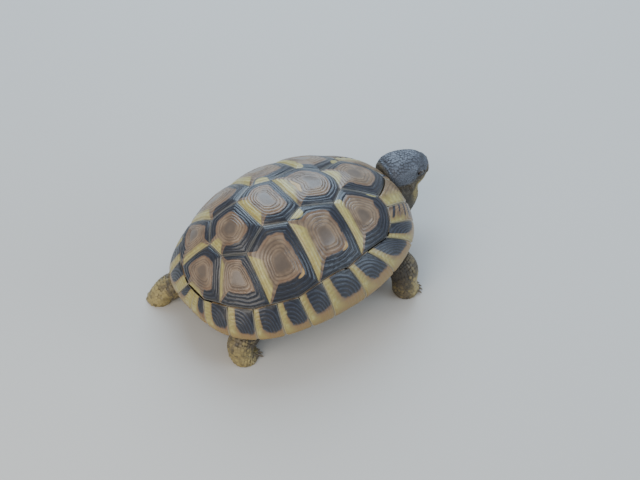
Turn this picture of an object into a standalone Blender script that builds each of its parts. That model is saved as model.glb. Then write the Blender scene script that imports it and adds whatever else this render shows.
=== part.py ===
# A tortoise (Testudo hermanni) standing in mid stride, as a still museum model.
# Metres, +Z up, +X towards the head, +Y to the animal's left; the soles rest on z = 0.
from math import acos, atan2, ceil, copysign, cos, hypot, pi, radians, sin, tau

import bmesh
import bpy
from mathutils import Vector

# --- driving dimensions ---
MM = 0.001
HALF_LENGTH = 75 * MM        # half of the straight length of the upper shell
HALF_WIDTH = 0.755           # the rest of the shell is in half lengths
DOME_HEIGHT = 0.73           # above the plane of the rim
REAR_RISE = 0.338            # how much higher the dome stands behind than in front
PEAK_SHIFT = 0.026
FRONT_ARCH = 0.152           # how far the rim rises over the neck
NOSE_UP = radians(2.3)       # pitch of the shell in this stride
FLOOR_DEPTH = 29 * MM        # rim plane's centre above the floor
FORWARD_SHIFT = -14.6 * MM   # brings the middle of the whole body to x = 0

GAP = 0.3 * MM               # clearance between neighbours
PLATE = 1.8 * MM             # thickness of a horny plate with its bone
CROWN = 0.8 * MM             # how far a plate swells above the seams
SEAM_INSET = 0.0026          # half a seam, in half lengths

BELLY_DEPTH = 16 * MM        # plastron below the rim plane
BELLY_RISE = 3.4 * MM        # and how far its edge curls up at the bridge
BELLY_SIDE = 43 * MM

RIM_UNDER = 9.5 * MM         # how far a free rim turns inwards underneath
BRIDGE_UNDER = 13 * MM       # the same where the rim runs down into the bridge
BRIDGE_DROP = 12.6 * MM

HEAD_PLACE = (90.4 * MM, 7.2 * MM, 16.2 * MM)
HEAD_YAW, HEAD_PITCH = radians(-10), radians(-8)
EYE_PLACE = (8 * MM, 8 * MM, 0)
EYE_RADIUS = 2.9 * MM

# --- seams of the upper shell, in disc coordinates: forward, left; the rim is the unit circle ---
NUCHAL = (0.708, 0.035)
V1_FRONT = (0.504, 0.200)
V1_V2, V2_SIDE = (0.250, 0.087), (0.176, 0.191)
V2_V3, V3_SIDE = (-0.044, 0.159), (-0.171, 0.202)
V3_V4, V4_SIDE = (-0.283, 0.122), (-0.442, 0.176)
V4_V5, V5_REAR = (-0.541, 0.060), (-0.745, 0.216)
TAIL_SEAM = (-0.808, 0.092)
# upper corner of each seam between marginals, front to rear, and its angle at the rim
MARGINAL_SEAMS = [
    (NUCHAL, 2.2), ((0.553, 0.291), 14), ((0.537, 0.430), 25), ((0.482, 0.537), 37),
    ((0.273, 0.612), 55), ((0.078, 0.681), 76), ((-0.184, 0.660), 99.4), ((-0.385, 0.621), 114.8),
    ((-0.514, 0.526), 129.2), ((-0.635, 0.424), 142.3), ((-0.724, 0.273), 155.2), (TAIL_SEAM, 168),
]
TAIL_MIDDLE = ((-0.816, 0.0), 180)


def mix(a, b, t):
    return tuple(x + (y - x) * t for x, y in zip(a, b))


def smooth_step(low, high, x):
    t = min(max((x - low) / (high - low), 0), 1)
    return t * t * (3 - 2 * t)


def spline(rows, t):
    # Catmull-Rom curve through evenly spaced rows of numbers, t from 0 to 1
    spans = len(rows) - 1
    i = min(int(t * spans), spans - 1)
    u = t * spans - i
    a, b, c, d = (rows[min(max(i + k, 0), spans)] for k in (-1, 0, 1, 2))
    return tuple(
        0.5 * (2 * q + (r - p) * u + (2 * p - 5 * q + 4 * r - s) * u * u
               + (3 * q - p - 3 * r + s) * u ** 3)
        for p, q, r, s in zip(a, b, c, d))


# --- scene, finishes and the one way every form is made ---
def clear_scene():
    for thing in list(bpy.data.objects):
        bpy.data.objects.remove(thing, do_unlink=True)


def finish(name, colour, roughness):
    found = bpy.data.materials.get(name)
    if found:
        return found
    made = bpy.data.materials.new(name)
    made.use_nodes = True
    shader = made.node_tree.nodes["Principled BSDF"]
    shader.inputs["Base Color"].default_value = (*colour, 1)
    shader.inputs["Roughness"].default_value = roughness
    return made


def empty(name, parent=None, location=(0, 0, 0), rotation=(0, 0, 0)):
    frame = bpy.data.objects.new(name, None)
    parts.objects.link(frame)
    frame.parent = parent
    frame.location = location
    frame.rotation_euler = rotation
    return frame


def place_object(name, mesh, look, parent, collection):
    mesh.materials.append(look)
    thing = bpy.data.objects.new(name, mesh)
    collection.objects.link(thing)
    thing.parent = parent
    if collection is cutters:
        thing.hide_render = True
        thing.display_type = "WIRE"
    return thing


def ball_mesh(name, rings, sides, place):
    # A sphere whose vertices are moved to place(ring, side): ring 0 and the last ring are its
    # poles, and side counts anticlockwise round the axis from pole to pole.
    bm = bmesh.new()
    bmesh.ops.create_uvsphere(bm, u_segments=sides, v_segments=rings, radius=1)
    for vert in bm.verts:
        ring = round(acos(min(max(vert.co.z, -1), 1)) / pi * rings)
        side = round((atan2(vert.co.y, vert.co.x) - pi / 2) / tau * sides) % sides
        vert.co = place(ring, side)
    bm.normal_update()
    bmesh.ops.recalc_face_normals(bm, faces=bm.faces)
    mesh = bpy.data.meshes.new(name)
    bm.to_mesh(mesh)
    bm.free()
    mesh.shade_smooth()
    mesh.set_sharp_from_angle(angle=radians(35))
    return mesh


def ball(name, rings, sides, place, look, parent, collection=None):
    mesh = ball_mesh(name, rings, sides, place)
    return place_object(name, mesh, look, parent, collection or parts)


def swollen(source, gap):
    # a cutter: the same form, grown by the gap along its normals
    mesh = source.data.copy()
    for vert, normal in zip(mesh.vertices, [v.normal.copy() for v in mesh.vertices]):
        vert.co += normal * gap
    return place_object(source.name + "_room", mesh, source.data.materials[0], source.parent, cutters)


def boolean(target, operation, other):
    step = target.modifiers.new(operation.lower() + "_" + other.name, "BOOLEAN")
    step.operation = operation
    step.solver = "EXACT"
    step.use_self = operation == "UNION"    # the claws meet inside the foot
    step.object = other


# --- upper shell ---
def dome_point(p, q):
    # Plan: a superellipse, rounder at the peak than at the rim. Height: a cosine of the disc
    # radius, steeper in front, and higher behind. The rim rises in front as the square of the
    # forward direction.
    rho, angle = min(hypot(p, q), 1), atan2(q, p)
    c, s = cos(angle), sin(angle)
    peak_power = 1.9 - 0.25 * c
    power = peak_power + (2.735 - peak_power) * rho ** 2.6
    reach = (abs(c) ** power + abs(s / HALF_WIDTH) ** power) ** (-1 / power)
    turn, last = rho * radians(89), cos(radians(89))
    out = reach * abs(sin(turn)) ** (0.949 - 0.068 * c)
    height = max((cos(turn) - last) / (1 - last), 0) ** (1.102 - 0.302 * c)
    x = out * c + PEAK_SHIFT * height
    z = DOME_HEIGHT * height * (1 - REAR_RISE * x) + (1 - height) * FRONT_ARCH * max(c, 0) ** 2
    return Vector((x, out * s, z)) * HALF_LENGTH


def dome(p, q, depth):
    # the point under the dome's surface, along its normal
    step = 0.004
    here = hypot(p, q)
    if here > 0.985:
        p, q, rim = p * 0.985 / here, q * 0.985 / here, dome_point(p, q)
    else:
        rim = dome_point(p, q)
    across = dome_point(p + step, q) - dome_point(p - step, q)
    along = dome_point(p, q + step) - dome_point(p, q - step)
    return rim - across.cross(along).normalized() * depth


def inset(corners, distance):
    # a convex polygon with every edge moved inwards
    count = len(corners)
    moved = []
    for i, here in enumerate(corners):
        before, after = corners[i - 1], corners[(i + 1) % count]
        lines = []
        for a, b in ((before, here), (here, after)):
            length = hypot(b[0] - a[0], b[1] - a[1])
            normal = (-(b[1] - a[1]) / length, (b[0] - a[0]) / length)
            lines.append((normal, normal[0] * a[0] + normal[1] * a[1] + distance))
        (n1, d1), (n2, d2) = lines
        det = n1[0] * n2[1] - n1[1] * n2[0]
        if abs(det) < 0.15:
            moved.append((here[0] + n1[0] * distance, here[1] + n1[1] * distance))
        else:
            moved.append(((d1 * n2[1] - d2 * n1[1]) / det, (n1[0] * d2 - n2[0] * d1) / det))
    return moved


def outline(corners, step):
    # points round a polygon, each edge cut into equal pieces no longer than the step
    points = []
    for i, a in enumerate(corners):
        b = corners[(i + 1) % len(corners)]
        pieces = max(1, ceil(hypot(b[0] - a[0], b[1] - a[1]) / step))
        points += [mix(a, b, k / pieces) for k in range(pieces)]
    return points


PLATE_RINGS = ((0.0, 0), (0.5, 0), (0.86, 0), (1.0, 0), (1.0, 1), (0.55, 1), (0.0, 1))


def plate(name, corners, focus, surface, look, parent, step=0.13, shrink=SEAM_INSET, crown=CROWN):
    # Rings of the outline shrunk towards the focus, swelling above the seams on the outside
    # and following the surface at the plate's thickness inside.
    edge = outline(inset(corners, shrink), step)

    def place(ring, side):
        share, inner = PLATE_RINGS[ring]
        p, q = mix(focus, edge[side], share)
        return surface(p, q, PLATE if inner else -crown * (1 - share ** 3))

    return ball(name, len(PLATE_RINGS) - 1, len(edge), place, look, parent)


def mirrored(corners):
    return [(p, -q) for p, q in reversed(corners)]


def both_sides(half):
    # a whole outline from the corners of its left half, front to rear
    return half + [(p, -q) for p, q in reversed(half) if abs(q) > 1e-6]


def seam_corner(number):
    return MARGINAL_SEAMS[number][0]


C1_C2 = mix(seam_corner(4), seam_corner(5), 0.25)
C2_C3 = mix(seam_corner(6), seam_corner(7), 0.11)
C3_C4 = mix(seam_corner(8), seam_corner(9), 0.28)
VERTEBRALS = [
    ([NUCHAL, V1_FRONT, V1_V2], (0.385, 0)),
    ([V1_V2, V2_SIDE, V2_V3], (0.112, 0)),
    ([V2_V3, V3_SIDE, V3_V4], (-0.168, 0)),
    ([V3_V4, V4_SIDE, V4_V5], (-0.408, 0)),
    ([V4_V5, V5_REAR, TAIL_SEAM], (-0.667, 0)),
]
COSTALS = [
    ([V1_FRONT, seam_corner(1), seam_corner(2), seam_corner(3), seam_corner(4), C1_C2,
      V2_SIDE, V1_V2], (0.317, 0.338)),
    ([V2_SIDE, C1_C2, seam_corner(5), seam_corner(6), C2_C3, V3_SIDE, V2_V3], (-0.008, 0.411)),
    ([V3_SIDE, C2_C3, seam_corner(7), seam_corner(8), C3_C4, V4_SIDE, V3_V4], (-0.355, 0.362)),
    ([V4_SIDE, C3_C4, seam_corner(9), seam_corner(10), V5_REAR, V4_V5], (-0.556, 0.215)),
]


def upper_plates():
    look = finish("carapace_horn", (0.16, 0.13, 0.07), 0.4)
    for number, (half, focus) in enumerate(VERTEBRALS, 1):
        plate(f"vertebral_{number}", both_sides(half), focus, dome, look, shell)
    for number, (corners, focus) in enumerate(COSTALS, 1):
        plate(f"costal_left_{number}", corners, focus, dome, look, shell)
        plate(f"costal_right_{number}", mirrored(corners), (focus[0], -focus[1]), dome, look, shell)


# --- marginals: the plates that wrap the rim ---
def bridge_share(degrees):
    return smooth_step(47, 68, abs(degrees)) * (1 - smooth_step(104, 122, abs(degrees)))


TOP_STEPS = (0, 0.5, 0.85, 1)
TURN_STEPS = (0.35, 0.7, 1)
BACK_STEPS = (0, 0.5, 1)


def bend(a, b, c, t):
    # a quadratic curve from a to c, drawn towards b
    return a * (1 - t) ** 2 + b * 2 * t * (1 - t) + c * t * t


def rim_section(seam, degrees):
    # Closed section of the rim at one angle: down the dome from the seam, round the edge, back
    # underneath, and up the inside to the seam again.
    angle = radians(degrees)
    edge = (cos(angle), sin(angle))
    at_rim = dome_point(*edge)
    outward = Vector((at_rim.x, at_rim.y, 0)).normalized()
    up = Vector((0, 0, 1))
    bridge = bridge_share(degrees)
    free = 1 - bridge
    under = at_rim - outward * (RIM_UNDER * free + BRIDGE_UNDER * bridge)
    under += up * (0.3 * MM * free - BRIDGE_DROP * bridge)
    pull = at_rim + outward * 0.4 * MM - up * (2.6 * MM * free + 5 * MM * bridge)
    inner_end = under + up * (2.4 * MM * free + 1.4 * MM * bridge) - outward * 1.6 * MM * bridge
    inner_top = dome(*seam, PLATE)
    wall = at_rim - outward * 2.6 * MM - up * 2 * MM
    inner_pull = (inner_end + inner_top) * 0.5 * free + wall * bridge
    top = [dome(*mix(seam, edge, t), -0.6 * CROWN * sin(pi * t)) for t in TOP_STEPS]
    turn = [bend(at_rim, pull, under, t) for t in TURN_STEPS]
    back = [bend(inner_end, inner_pull, inner_top, t) for t in BACK_STEPS]
    return top + turn + back


def marginal(name, upper, angles, look, spans=2):
    # sections of the rim from one seam to the next, with the seams' gap taken off at both ends;
    # upper is the upper edge as two or three corners
    margin = 0.16 * MM / (HALF_LENGTH * radians(abs(angles[1] - angles[0])))
    middle_seam = upper[1] if len(upper) == 3 else mix(upper[0], upper[1], 0.5)

    def section(share):
        t = margin + (1 - 2 * margin) * share
        seam = mix(upper[0], middle_seam, 2 * t) if t < 0.5 else mix(middle_seam, upper[-1], 2 * t - 1)
        degrees = angles[0] + (angles[1] - angles[0]) * t
        rim = (cos(radians(degrees)), sin(radians(degrees)))
        length = hypot(rim[0] - seam[0], rim[1] - seam[1])
        return rim_section(mix(seam, rim, SEAM_INSET / length), degrees)

    sections = [section(i / spans) for i in range(spans + 1)]
    caps = [sum(ends, Vector()) / len(ends) for ends in (sections[0], sections[-1])]

    def place(ring, side):
        if ring in (0, spans + 2):
            return caps[0 if ring == 0 else 1]
        return sections[ring - 1][side]

    return ball(name, spans + 2, len(sections[0]), place, look, shell)


def rim_plates():
    look = finish("marginal_horn", (0.20, 0.15, 0.07), 0.42)
    seams = MARGINAL_SEAMS + [TAIL_MIDDLE]
    for side, sign in (("left", 1), ("right", -1)):
        for number, ((first, start), (second, end)) in enumerate(zip(seams, seams[1:]), 1):
            name = f"marginal_{side}_{number}" if number < 12 else f"supracaudal_{side}"
            upper = [first, V1_FRONT, second] if number == 1 else [first, second]
            upper = [(p, q * sign) for p, q in upper]
            marginal(name, upper, (start * sign, end * sign), look, spans=6 if number == 1 else 2)
    nuchal, angle = MARGINAL_SEAMS[0]
    marginal("nuchal", [(nuchal[0], -nuchal[1]), nuchal], (-angle, angle), look)


# --- plastron ---
# half outlines of its pairs of plates, in half lengths: forward and left
BELLY_PLATES = {
    "gular": [(0.84, 0), (0.85, 0.12), (0.73, 0.235), (0.62, 0)],
    "humeral": [(0.62, 0), (0.73, 0.235), (0.45, 0.385), (0.40, 0)],
    "pectoral": [(0.40, 0), (0.45, 0.385), (0.35, 0.53), (0.17, 0.555), (0.22, 0)],
    "abdominal": [(0.22, 0), (0.17, 0.555), (-0.28, 0.555), (-0.38, 0.36), (-0.27, 0)],
    "femoral": [(-0.27, 0), (-0.38, 0.36), (-0.60, 0.245), (-0.53, 0)],
    "anal": [(-0.53, 0), (-0.60, 0.245), (-0.80, 0.17), (-0.71, 0)],
}


def belly(p, q, depth):
    x, y = p * HALF_LENGTH, q * HALF_LENGTH
    return Vector((x, y, -BELLY_DEPTH + BELLY_RISE * (abs(y) / BELLY_SIDE) ** 3 + depth))


def belly_plates():
    look = finish("plastron_horn", (0.36, 0.28, 0.10), 0.45)
    for name, half in BELLY_PLATES.items():
        ring = both_sides(half)
        focus = ((half[0][0] + half[-1][0]) / 2, 0)
        plate("plastron_" + name, ring, focus, belly, look, shell, step=0.24, crown=0.2 * MM)


# --- flesh ---
def tube(name, path, radii, rings, sides, reference, look, parent, collection=None, sole=None):
    # Round sections carried along a curve: radii are the half sizes along the reference
    # direction and across it. A sole is the height at which the last section lies flat, and the
    # sections turn level before it.
    reference = Vector(reference)

    def place(ring, side):
        t = min(max((ring - 1) / (rings - 2), 0), 1)
        centre = Vector(spline(path, t))
        ahead = Vector(spline(path, min(t + 0.02, 1))) - Vector(spline(path, max(t - 0.02, 0)))
        ahead.normalize()
        if sole is not None:
            ahead = ahead.lerp(Vector((0, 0, -1)), smooth_step(0.6, 0.9, t)).normalized()
        fore = (reference - ahead * reference.dot(ahead)).normalized()
        across = ahead.cross(fore)
        if ring in (0, rings):
            point = centre.copy()
        else:
            a, b = spline(radii, t)
            turn = tau * side / sides
            point = centre + fore * a * cos(turn) + across * b * sin(turn)
        if sole is not None:
            point.z = sole if ring >= rings - 1 else max(point.z, sole + 0.5 * MM)
        return point

    return ball(name, rings, sides, place, look, parent, collection)


def scaled(rows):
    return [tuple(value * MM for value in row) for row in rows]


# paths from the body outwards, in millimetres from the middle of the rim plane, and half sizes
# fore-aft and across at the same places; heading is the way the toes point
FRONT_RADII = [(8.5, 8.5), (9.2, 8.8), (9.2, 9), (7.6, 8.6), (7.6, 8.8)]
HIND_RADII = [(9, 8.2), (9.2, 8.4), (8.8, 8.4), (7.4, 7.8), (7.6, 7.8)]
LEGS = {
    "leg_front_left": dict(path=[(38, 22, 0), (51, 33, -2), (61.5, 41, -8), (66, 43, -18),
                                 (67.5, 42.5, -29)],
                           radii=FRONT_RADII, heading=8, claws=5),
    "leg_front_right": dict(path=[(37, -23, 0), (46.5, -34.5, -2), (52, -42.5, -8.5),
                                  (52.5, -44, -18), (54, -43.5, -29)],
                            radii=FRONT_RADII, heading=-20, claws=5),
    "leg_hind_left": dict(path=[(-36, 19, -6), (-48, 28.5, -10), (-60, 35, -17),
                                (-68, 39, -22.5), (-71.8, 41.1, -29)],
                          radii=HIND_RADII, heading=34, claws=4),
    "leg_hind_right": dict(path=[(-34, -18, -6), (-46, -25.5, -8.5), (-57, -29.3, -13.5),
                                 (-60.5, -30, -21), (-58.3, -32.1, -29)],
                           radii=HIND_RADII, heading=-6, claws=4),
}
CLAW_LENGTH, CLAW_RADIUS, CLAW_FAN = 5.4 * MM, 1.8 * MM, 17


def claw(sole, heading, radius):
    # one claw: a cone bent down to the floor, its root inside the foot
    way = Vector((cos(heading), sin(heading), 0))
    side = Vector((-sin(heading), cos(heading), 0))
    root = sole + way * (radius - 2 * MM) + Vector((0, 0, 3 * MM))
    rings, sides = 5, 6

    def place(ring, number):
        t = min(max((ring - 1) / (rings - 1), 0), 1)
        centre = root + way * CLAW_LENGTH * t - Vector((0, 0, 2.5 * MM * t * t))
        wide = 0 if ring in (0, rings) else CLAW_RADIUS * (1 - 0.85 * t)
        turn = tau * number / sides
        return centre + side * wide * cos(turn) + Vector((0, 0, wide * sin(turn)))

    return ball_mesh("claw", rings, sides, place)


def joined(name, meshes, look, parent):
    bm = bmesh.new()
    for mesh in meshes:
        bm.from_mesh(mesh)
    whole = bpy.data.meshes.new(name)
    bm.to_mesh(whole)
    bm.free()
    for mesh in meshes:
        bpy.data.meshes.remove(mesh)
    return place_object(name, whole, look, parent, cutters)


def legs():
    skin = finish("leg_skin", (0.20, 0.17, 0.10), 0.7)
    horn = finish("claw_horn", (0.10, 0.08, 0.06), 0.45)
    made = []
    for name, leg in LEGS.items():
        heading = radians(leg["heading"])
        path = scaled(leg["path"])
        limb = tube(name, path, scaled(leg["radii"]), 10, 14, (cos(heading), sin(heading), 0),
                    skin, body, sole=-FLOOR_DEPTH)
        made.append(swollen(limb, 1.25 * GAP))
        count = leg["claws"]
        fan = [heading + radians(CLAW_FAN * (i - (count - 1) / 2)) for i in range(count)]
        radius = leg["radii"][-1][0] * MM
        claws = joined(name + "_claws", [claw(Vector(path[-1]), a, radius) for a in fan], horn, body)
        boolean(limb, "UNION", claws)
    return made


NECK_PATH = [(50, 0, -0.5), (61, 0.5, -1), (70.5, 1.5, -1.5), (79.5, 3.5, 1.5), (87, 6, 8), (94, 7, 13)]
NECK_RADII = [(8.6, 13.5), (9, 15), (10.6, 16), (12.2, 15.8), (12.2, 14.6), (7.5, 9)]
TAIL_PATH = [(-50, 0, -8), (-56, 0.5, -10), (-60.5, 2, -12.8), (-62.5, 4.5, -15.5), (-63, 7.5, -18)]
TAIL_RADII = [(6, 7), (5.5, 6.2), (4.6, 5), (3.5, 3.6), (2.2, 2.2)]
SPUR_PATH = [(-63, 8.1, -18.6), (-62.8, 9.8, -20.4), (-62.3, 11, -22.2)]
# the head's half width, top and bottom at even steps from the nape to the snout, in millimetres
HEAD_LENGTH = (-14.6, 16.2)
HEAD_SHAPE = [(9.4, 8, -9), (12.6, 10, -14.2), (13.2, 10.6, -15.4), (12.6, 10.2, -15.2),
              (10.8, 9.2, -14), (8.4, 7.2, -12.2), (5, 3.4, -9.4)]
JAW_FRONT, JAW_BACK, MOUTH_HEIGHT = 19 * MM, -1.5 * MM, -5.6 * MM
BEAK_BACK, BEAK_TOP = 11.8 * MM, 1.2 * MM


def head_form(name, look, collection):
    # rounded sections from the nape to the snout, fuller below than above
    rings, sides = 13, 16

    def place(ring, side):
        t = min(max((ring - 0.6) / (rings - 1.2), 0), 1) if 0 < ring < rings else ring / rings
        wide, top, bottom = (value * MM for value in spline(HEAD_SHAPE, t))
        x = (HEAD_LENGTH[0] + (HEAD_LENGTH[1] - HEAD_LENGTH[0]) * t) * MM
        centre = (top + bottom) / 2
        if ring in (0, rings):
            return Vector((x + (0.8 * MM if ring else -0.8 * MM), 0, centre))
        turn = tau * side / sides
        across, height = (copysign(abs(v) ** 0.84, v) for v in (cos(turn), sin(turn)))
        return Vector((x, wide * across, centre + (top - bottom) / 2 * height))

    return ball(name, rings, sides, place, look, head_frame, collection)


def box(name, low, high, parent):
    # a cutter box from corner to corner
    bm = bmesh.new()
    bmesh.ops.create_cube(bm, size=1)
    for vert in bm.verts:
        vert.co = Vector([(a + b) / 2 + (b - a) * c for a, b, c in zip(low, high, vert.co)])
    mesh = bpy.data.meshes.new(name)
    bm.to_mesh(mesh)
    bm.free()
    return place_object(name, mesh, finish("guide", (0.5, 0.5, 0.5), 0.5), parent, cutters)


def head():
    # the head is one form, parted by thin cuts into cranium, beak and lower jaw
    skin = finish("head_skin", (0.12, 0.13, 0.14), 0.6)
    horn = finish("beak_horn", (0.16, 0.14, 0.08), 0.4)
    wide, tall = 14 * MM, 14 * MM
    jaw = ((JAW_BACK, -wide, -tall), (JAW_FRONT, wide, MOUTH_HEIGHT))
    beak = ((BEAK_BACK, -wide, MOUTH_HEIGHT + GAP), (JAW_FRONT, wide, BEAK_TOP))
    cranium = head_form("head", skin, parts)
    for name, (low, high), look in (("lower_jaw", jaw, horn), ("upper_beak", beak, horn)):
        piece = head_form(name, look, parts)
        boolean(piece, "INTERSECT", box(name + "_limits", low, high, head_frame))
        room = (low[0] - GAP, low[1], low[2] if name == "lower_jaw" else low[2] - 2 * GAP)
        boolean(cranium, "DIFFERENCE",
                box(name + "_room", room, (high[0], high[1], high[2] + GAP), head_frame))
    eye_look = finish("eye", (0.02, 0.015, 0.01), 0.1)
    for side, sign in (("left", 1), ("right", -1)):
        x, y, z = EYE_PLACE[0], EYE_PLACE[1] * sign, EYE_PLACE[2]

        def sphere(radius):
            def place(ring, number):
                a, b = pi * ring / 9, tau * number / 10
                return Vector((x + radius * sin(a) * cos(b), y + radius * cos(a) * sign,
                               z + radius * sin(a) * sin(b) * sign))
            return place

        ball(f"eye_{side}", 9, 10, sphere(EYE_RADIUS), eye_look, head_frame)
        room = ball(f"eye_{side}_room", 9, 10, sphere(EYE_RADIUS + 1.3 * GAP), eye_look, head_frame,
                    cutters)
        boolean(cranium, "DIFFERENCE", room)
    return swollen(head_form("head_outline", skin, cutters), 1.25 * GAP)


def trunk_form(look):
    # the flesh inside the shell: under the dome at the plates' thickness, a wall inside the rim,
    # and a floor over the plastron that rises where the legs come out
    rings, sides = 12, 26
    top_rings = 6

    def place(ring, side):
        angle = tau * side / sides
        share = min(ring / top_rings, 1)
        reach = 0.60 - 0.12 * max(cos(angle), 0) ** 4     # the front plates are short
        p, q = reach * share * cos(angle), reach * share * sin(angle)
        upper = dome(p, q, PLATE + 2.2 * GAP)
        if ring <= top_rings:
            return upper
        inwards = (1, 0.97, 0.86, 0.62, 0.3, 0)[ring - top_rings - 1]
        x, y = upper.x * inwards, upper.y * inwards
        lobe = HALF_LENGTH * (0.40 + 0.18 * bridge_share(degrees_of(x, y)))
        open_edge = smooth_step(lobe * 0.8, lobe * 1.25, abs(y))
        open_edge = max(open_edge, smooth_step(0.70, 0.80, abs(x) / HALF_LENGTH))
        bottom = belly(x / HALF_LENGTH, y / HALF_LENGTH, PLATE + 2 * GAP).z
        drop = (0.4, 1, 1, 1, 1, 1)[ring - top_rings - 1]
        return Vector((x, y, upper_wall(open_edge, bottom, drop)))

    return ball("trunk", rings, sides, place, look, shell)


def degrees_of(x, y):
    return atan2(y, x) * 180 / pi


def upper_wall(open_edge, bottom, drop):
    # the wall's height: from just above the rim down to the floor of the trunk
    low = bottom + open_edge * 9 * MM
    return 4 * MM + (low - 4 * MM) * drop


def flesh():
    head_room = head()
    leg_rooms = legs()
    skin = finish("neck_skin", (0.16, 0.15, 0.12), 0.7)
    up = (0, 0, 1)
    neck = tube("neck", scaled(NECK_PATH), scaled(NECK_RADII), 11, 18, up, skin, body)
    neck_room = swollen(neck, 1.25 * GAP)
    boolean(neck, "DIFFERENCE", head_room)
    tail = tube("tail", scaled(TAIL_PATH), scaled(TAIL_RADII), 8, 10, up, skin, body)
    tail_room = swollen(tail, 1.25 * GAP)
    trunk = trunk_form(finish("trunk_skin", (0.18, 0.15, 0.12), 0.75))
    for room in leg_rooms + [neck_room, tail_room]:
        boolean(trunk, "DIFFERENCE", room)
    tube("tail_spur", scaled(SPUR_PATH), scaled([(2.0, 2.0), (1.5, 1.5), (0.4, 0.4)]), 6, 8, up,
         finish("spur_horn", (0.22, 0.18, 0.12), 0.45), body)


clear_scene()
parts = bpy.data.collections.new("tortoise")
cutters = bpy.data.collections.new("cutters")
for collection in (parts, cutters):
    bpy.context.scene.collection.children.link(collection)
centre = (FORWARD_SHIFT, 0, FLOOR_DEPTH)
body = empty("body_frame", location=centre)
shell = empty("shell_frame", location=centre, rotation=(0, -NOSE_UP, 0))
head_frame = empty("head_frame", parent=body, location=HEAD_PLACE, rotation=(0, HEAD_PITCH, HEAD_YAW))
upper_plates()
rim_plates()
belly_plates()
flesh()
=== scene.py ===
# A walking Hermann's tortoise: ridged horny plates, one scaled skin, claws, beak and eyes.
import math

import bmesh
import bpy
import numpy as np
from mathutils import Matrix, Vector
from mathutils.bvhtree import BVHTree


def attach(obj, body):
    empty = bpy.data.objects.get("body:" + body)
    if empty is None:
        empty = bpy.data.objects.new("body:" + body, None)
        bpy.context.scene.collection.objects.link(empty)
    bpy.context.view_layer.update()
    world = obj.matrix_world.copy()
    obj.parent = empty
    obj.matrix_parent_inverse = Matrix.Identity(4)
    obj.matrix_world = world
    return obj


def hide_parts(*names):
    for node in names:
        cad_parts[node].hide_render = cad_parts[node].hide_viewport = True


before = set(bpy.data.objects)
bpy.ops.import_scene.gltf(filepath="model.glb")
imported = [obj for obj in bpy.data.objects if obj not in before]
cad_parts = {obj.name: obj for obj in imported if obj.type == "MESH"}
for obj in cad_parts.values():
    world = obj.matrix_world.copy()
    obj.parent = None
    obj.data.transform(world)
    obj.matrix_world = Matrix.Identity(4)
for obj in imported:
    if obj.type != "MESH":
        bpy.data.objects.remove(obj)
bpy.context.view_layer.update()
mm = 0.001
print("frame loaded:", len(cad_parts), "nodes")


# helpers for arrays of numbers
def ramp(low, high, x):
    # 0 below low, 1 above high, a cubic ease between
    t = np.clip((x - low) / (high - low), 0, 1)
    return t * t * (3 - 2 * t)


def noise(points, size, seed=0):
    # value noise from 0 to 1: random numbers at the corners of a lattice, eased between them
    grid = np.asarray(points) / size + 11.7 * seed
    cell = np.floor(grid).astype(np.int64)
    part = grid - cell
    part = part * part * (3 - 2 * part)
    total = 0
    for corner in np.ndindex(2, 2, 2):
        at = cell + corner
        mixed = at[..., 0] * 73856093 ^ at[..., 1] * 19349663 ^ (at[..., 2] + seed) * 83492791
        mixed = (mixed ^ (mixed >> 13)) * 1274126177
        value = ((mixed ^ (mixed >> 16)) & 65535) / 65535
        weight = np.prod(np.where(corner, part, 1 - part), axis=-1)
        total = total + value * weight
    return total


def spline(rows, t):
    # Catmull-Rom curve through evenly spaced rows, t from 0 to 1, as whole arrays
    rows = np.asarray(rows, float)
    t = np.asarray(t, float)
    spans = len(rows) - 1
    i = np.minimum((t * spans).astype(int), spans - 1)
    u = (t * spans - i)[..., None]
    p, q, r, s = (rows[np.clip(i + k, 0, spans)] for k in (-1, 0, 1, 2))
    return 0.5 * (2 * q + (r - p) * u + (2 * p - 5 * q + 4 * r - s) * u * u
                  + (3 * q - p - 3 * r + s) * u ** 3)


upwards = np.array((0, 0, 1.0))


def unit(vectors):
    return vectors / np.maximum(np.linalg.norm(vectors, axis=-1, keepdims=True), 1e-12)


def ringBlur(values, width):
    # blur round a closed ring of samples by a bell curve of the given width in samples
    count = len(values)
    steps = np.arange(count)
    steps = np.minimum(steps, count - steps)
    bell = np.exp(-0.5 * (steps / width) ** 2)
    spectrum = np.fft.rfft(bell / bell.sum())
    shape = (-1,) + (1,) * (values.ndim - 1)
    return np.fft.irfft(np.fft.rfft(values, axis=0) * spectrum.reshape(shape), count, axis=0)


# helpers for meshes
def gridFaces(rows, around, first=0):
    # four-sided faces between neighbouring rows of a grid that is closed round its rows
    r, c = np.meshgrid(np.arange(rows - 1), np.arange(around), indexing="ij")
    n = (c + 1) % around
    return (first + np.stack([r * around + c, r * around + n, (r + 1) * around + n,
                              (r + 1) * around + c], -1)).reshape(-1, 4)


def poleFans(rows, around, firstPole, lastPole):
    # the triangles that close the first row and the last row of a grid, each to its own pole
    c = np.arange(around)
    n = (c + 1) % around
    last = (rows - 1) * around
    return (np.stack([n, c, np.full(around, firstPole)], -1),
            np.stack([last + c, last + n, np.full(around, lastPole)], -1))


def closedGrid(points):
    # a grid closed round its rows, with a pole at the middle of its first and last row
    rows, around = points.shape[:2]
    flat = np.concatenate([points.reshape(-1, 3), [points[0].mean(0), points[-1].mean(0)]])
    fans = np.concatenate(poleFans(rows, around, rows * around, rows * around + 1))
    return flat, gridFaces(rows, around), fans


def newObject(name, data):
    made = bpy.data.objects.new(name, data)
    bpy.context.scene.collection.objects.link(made)
    return made


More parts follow.
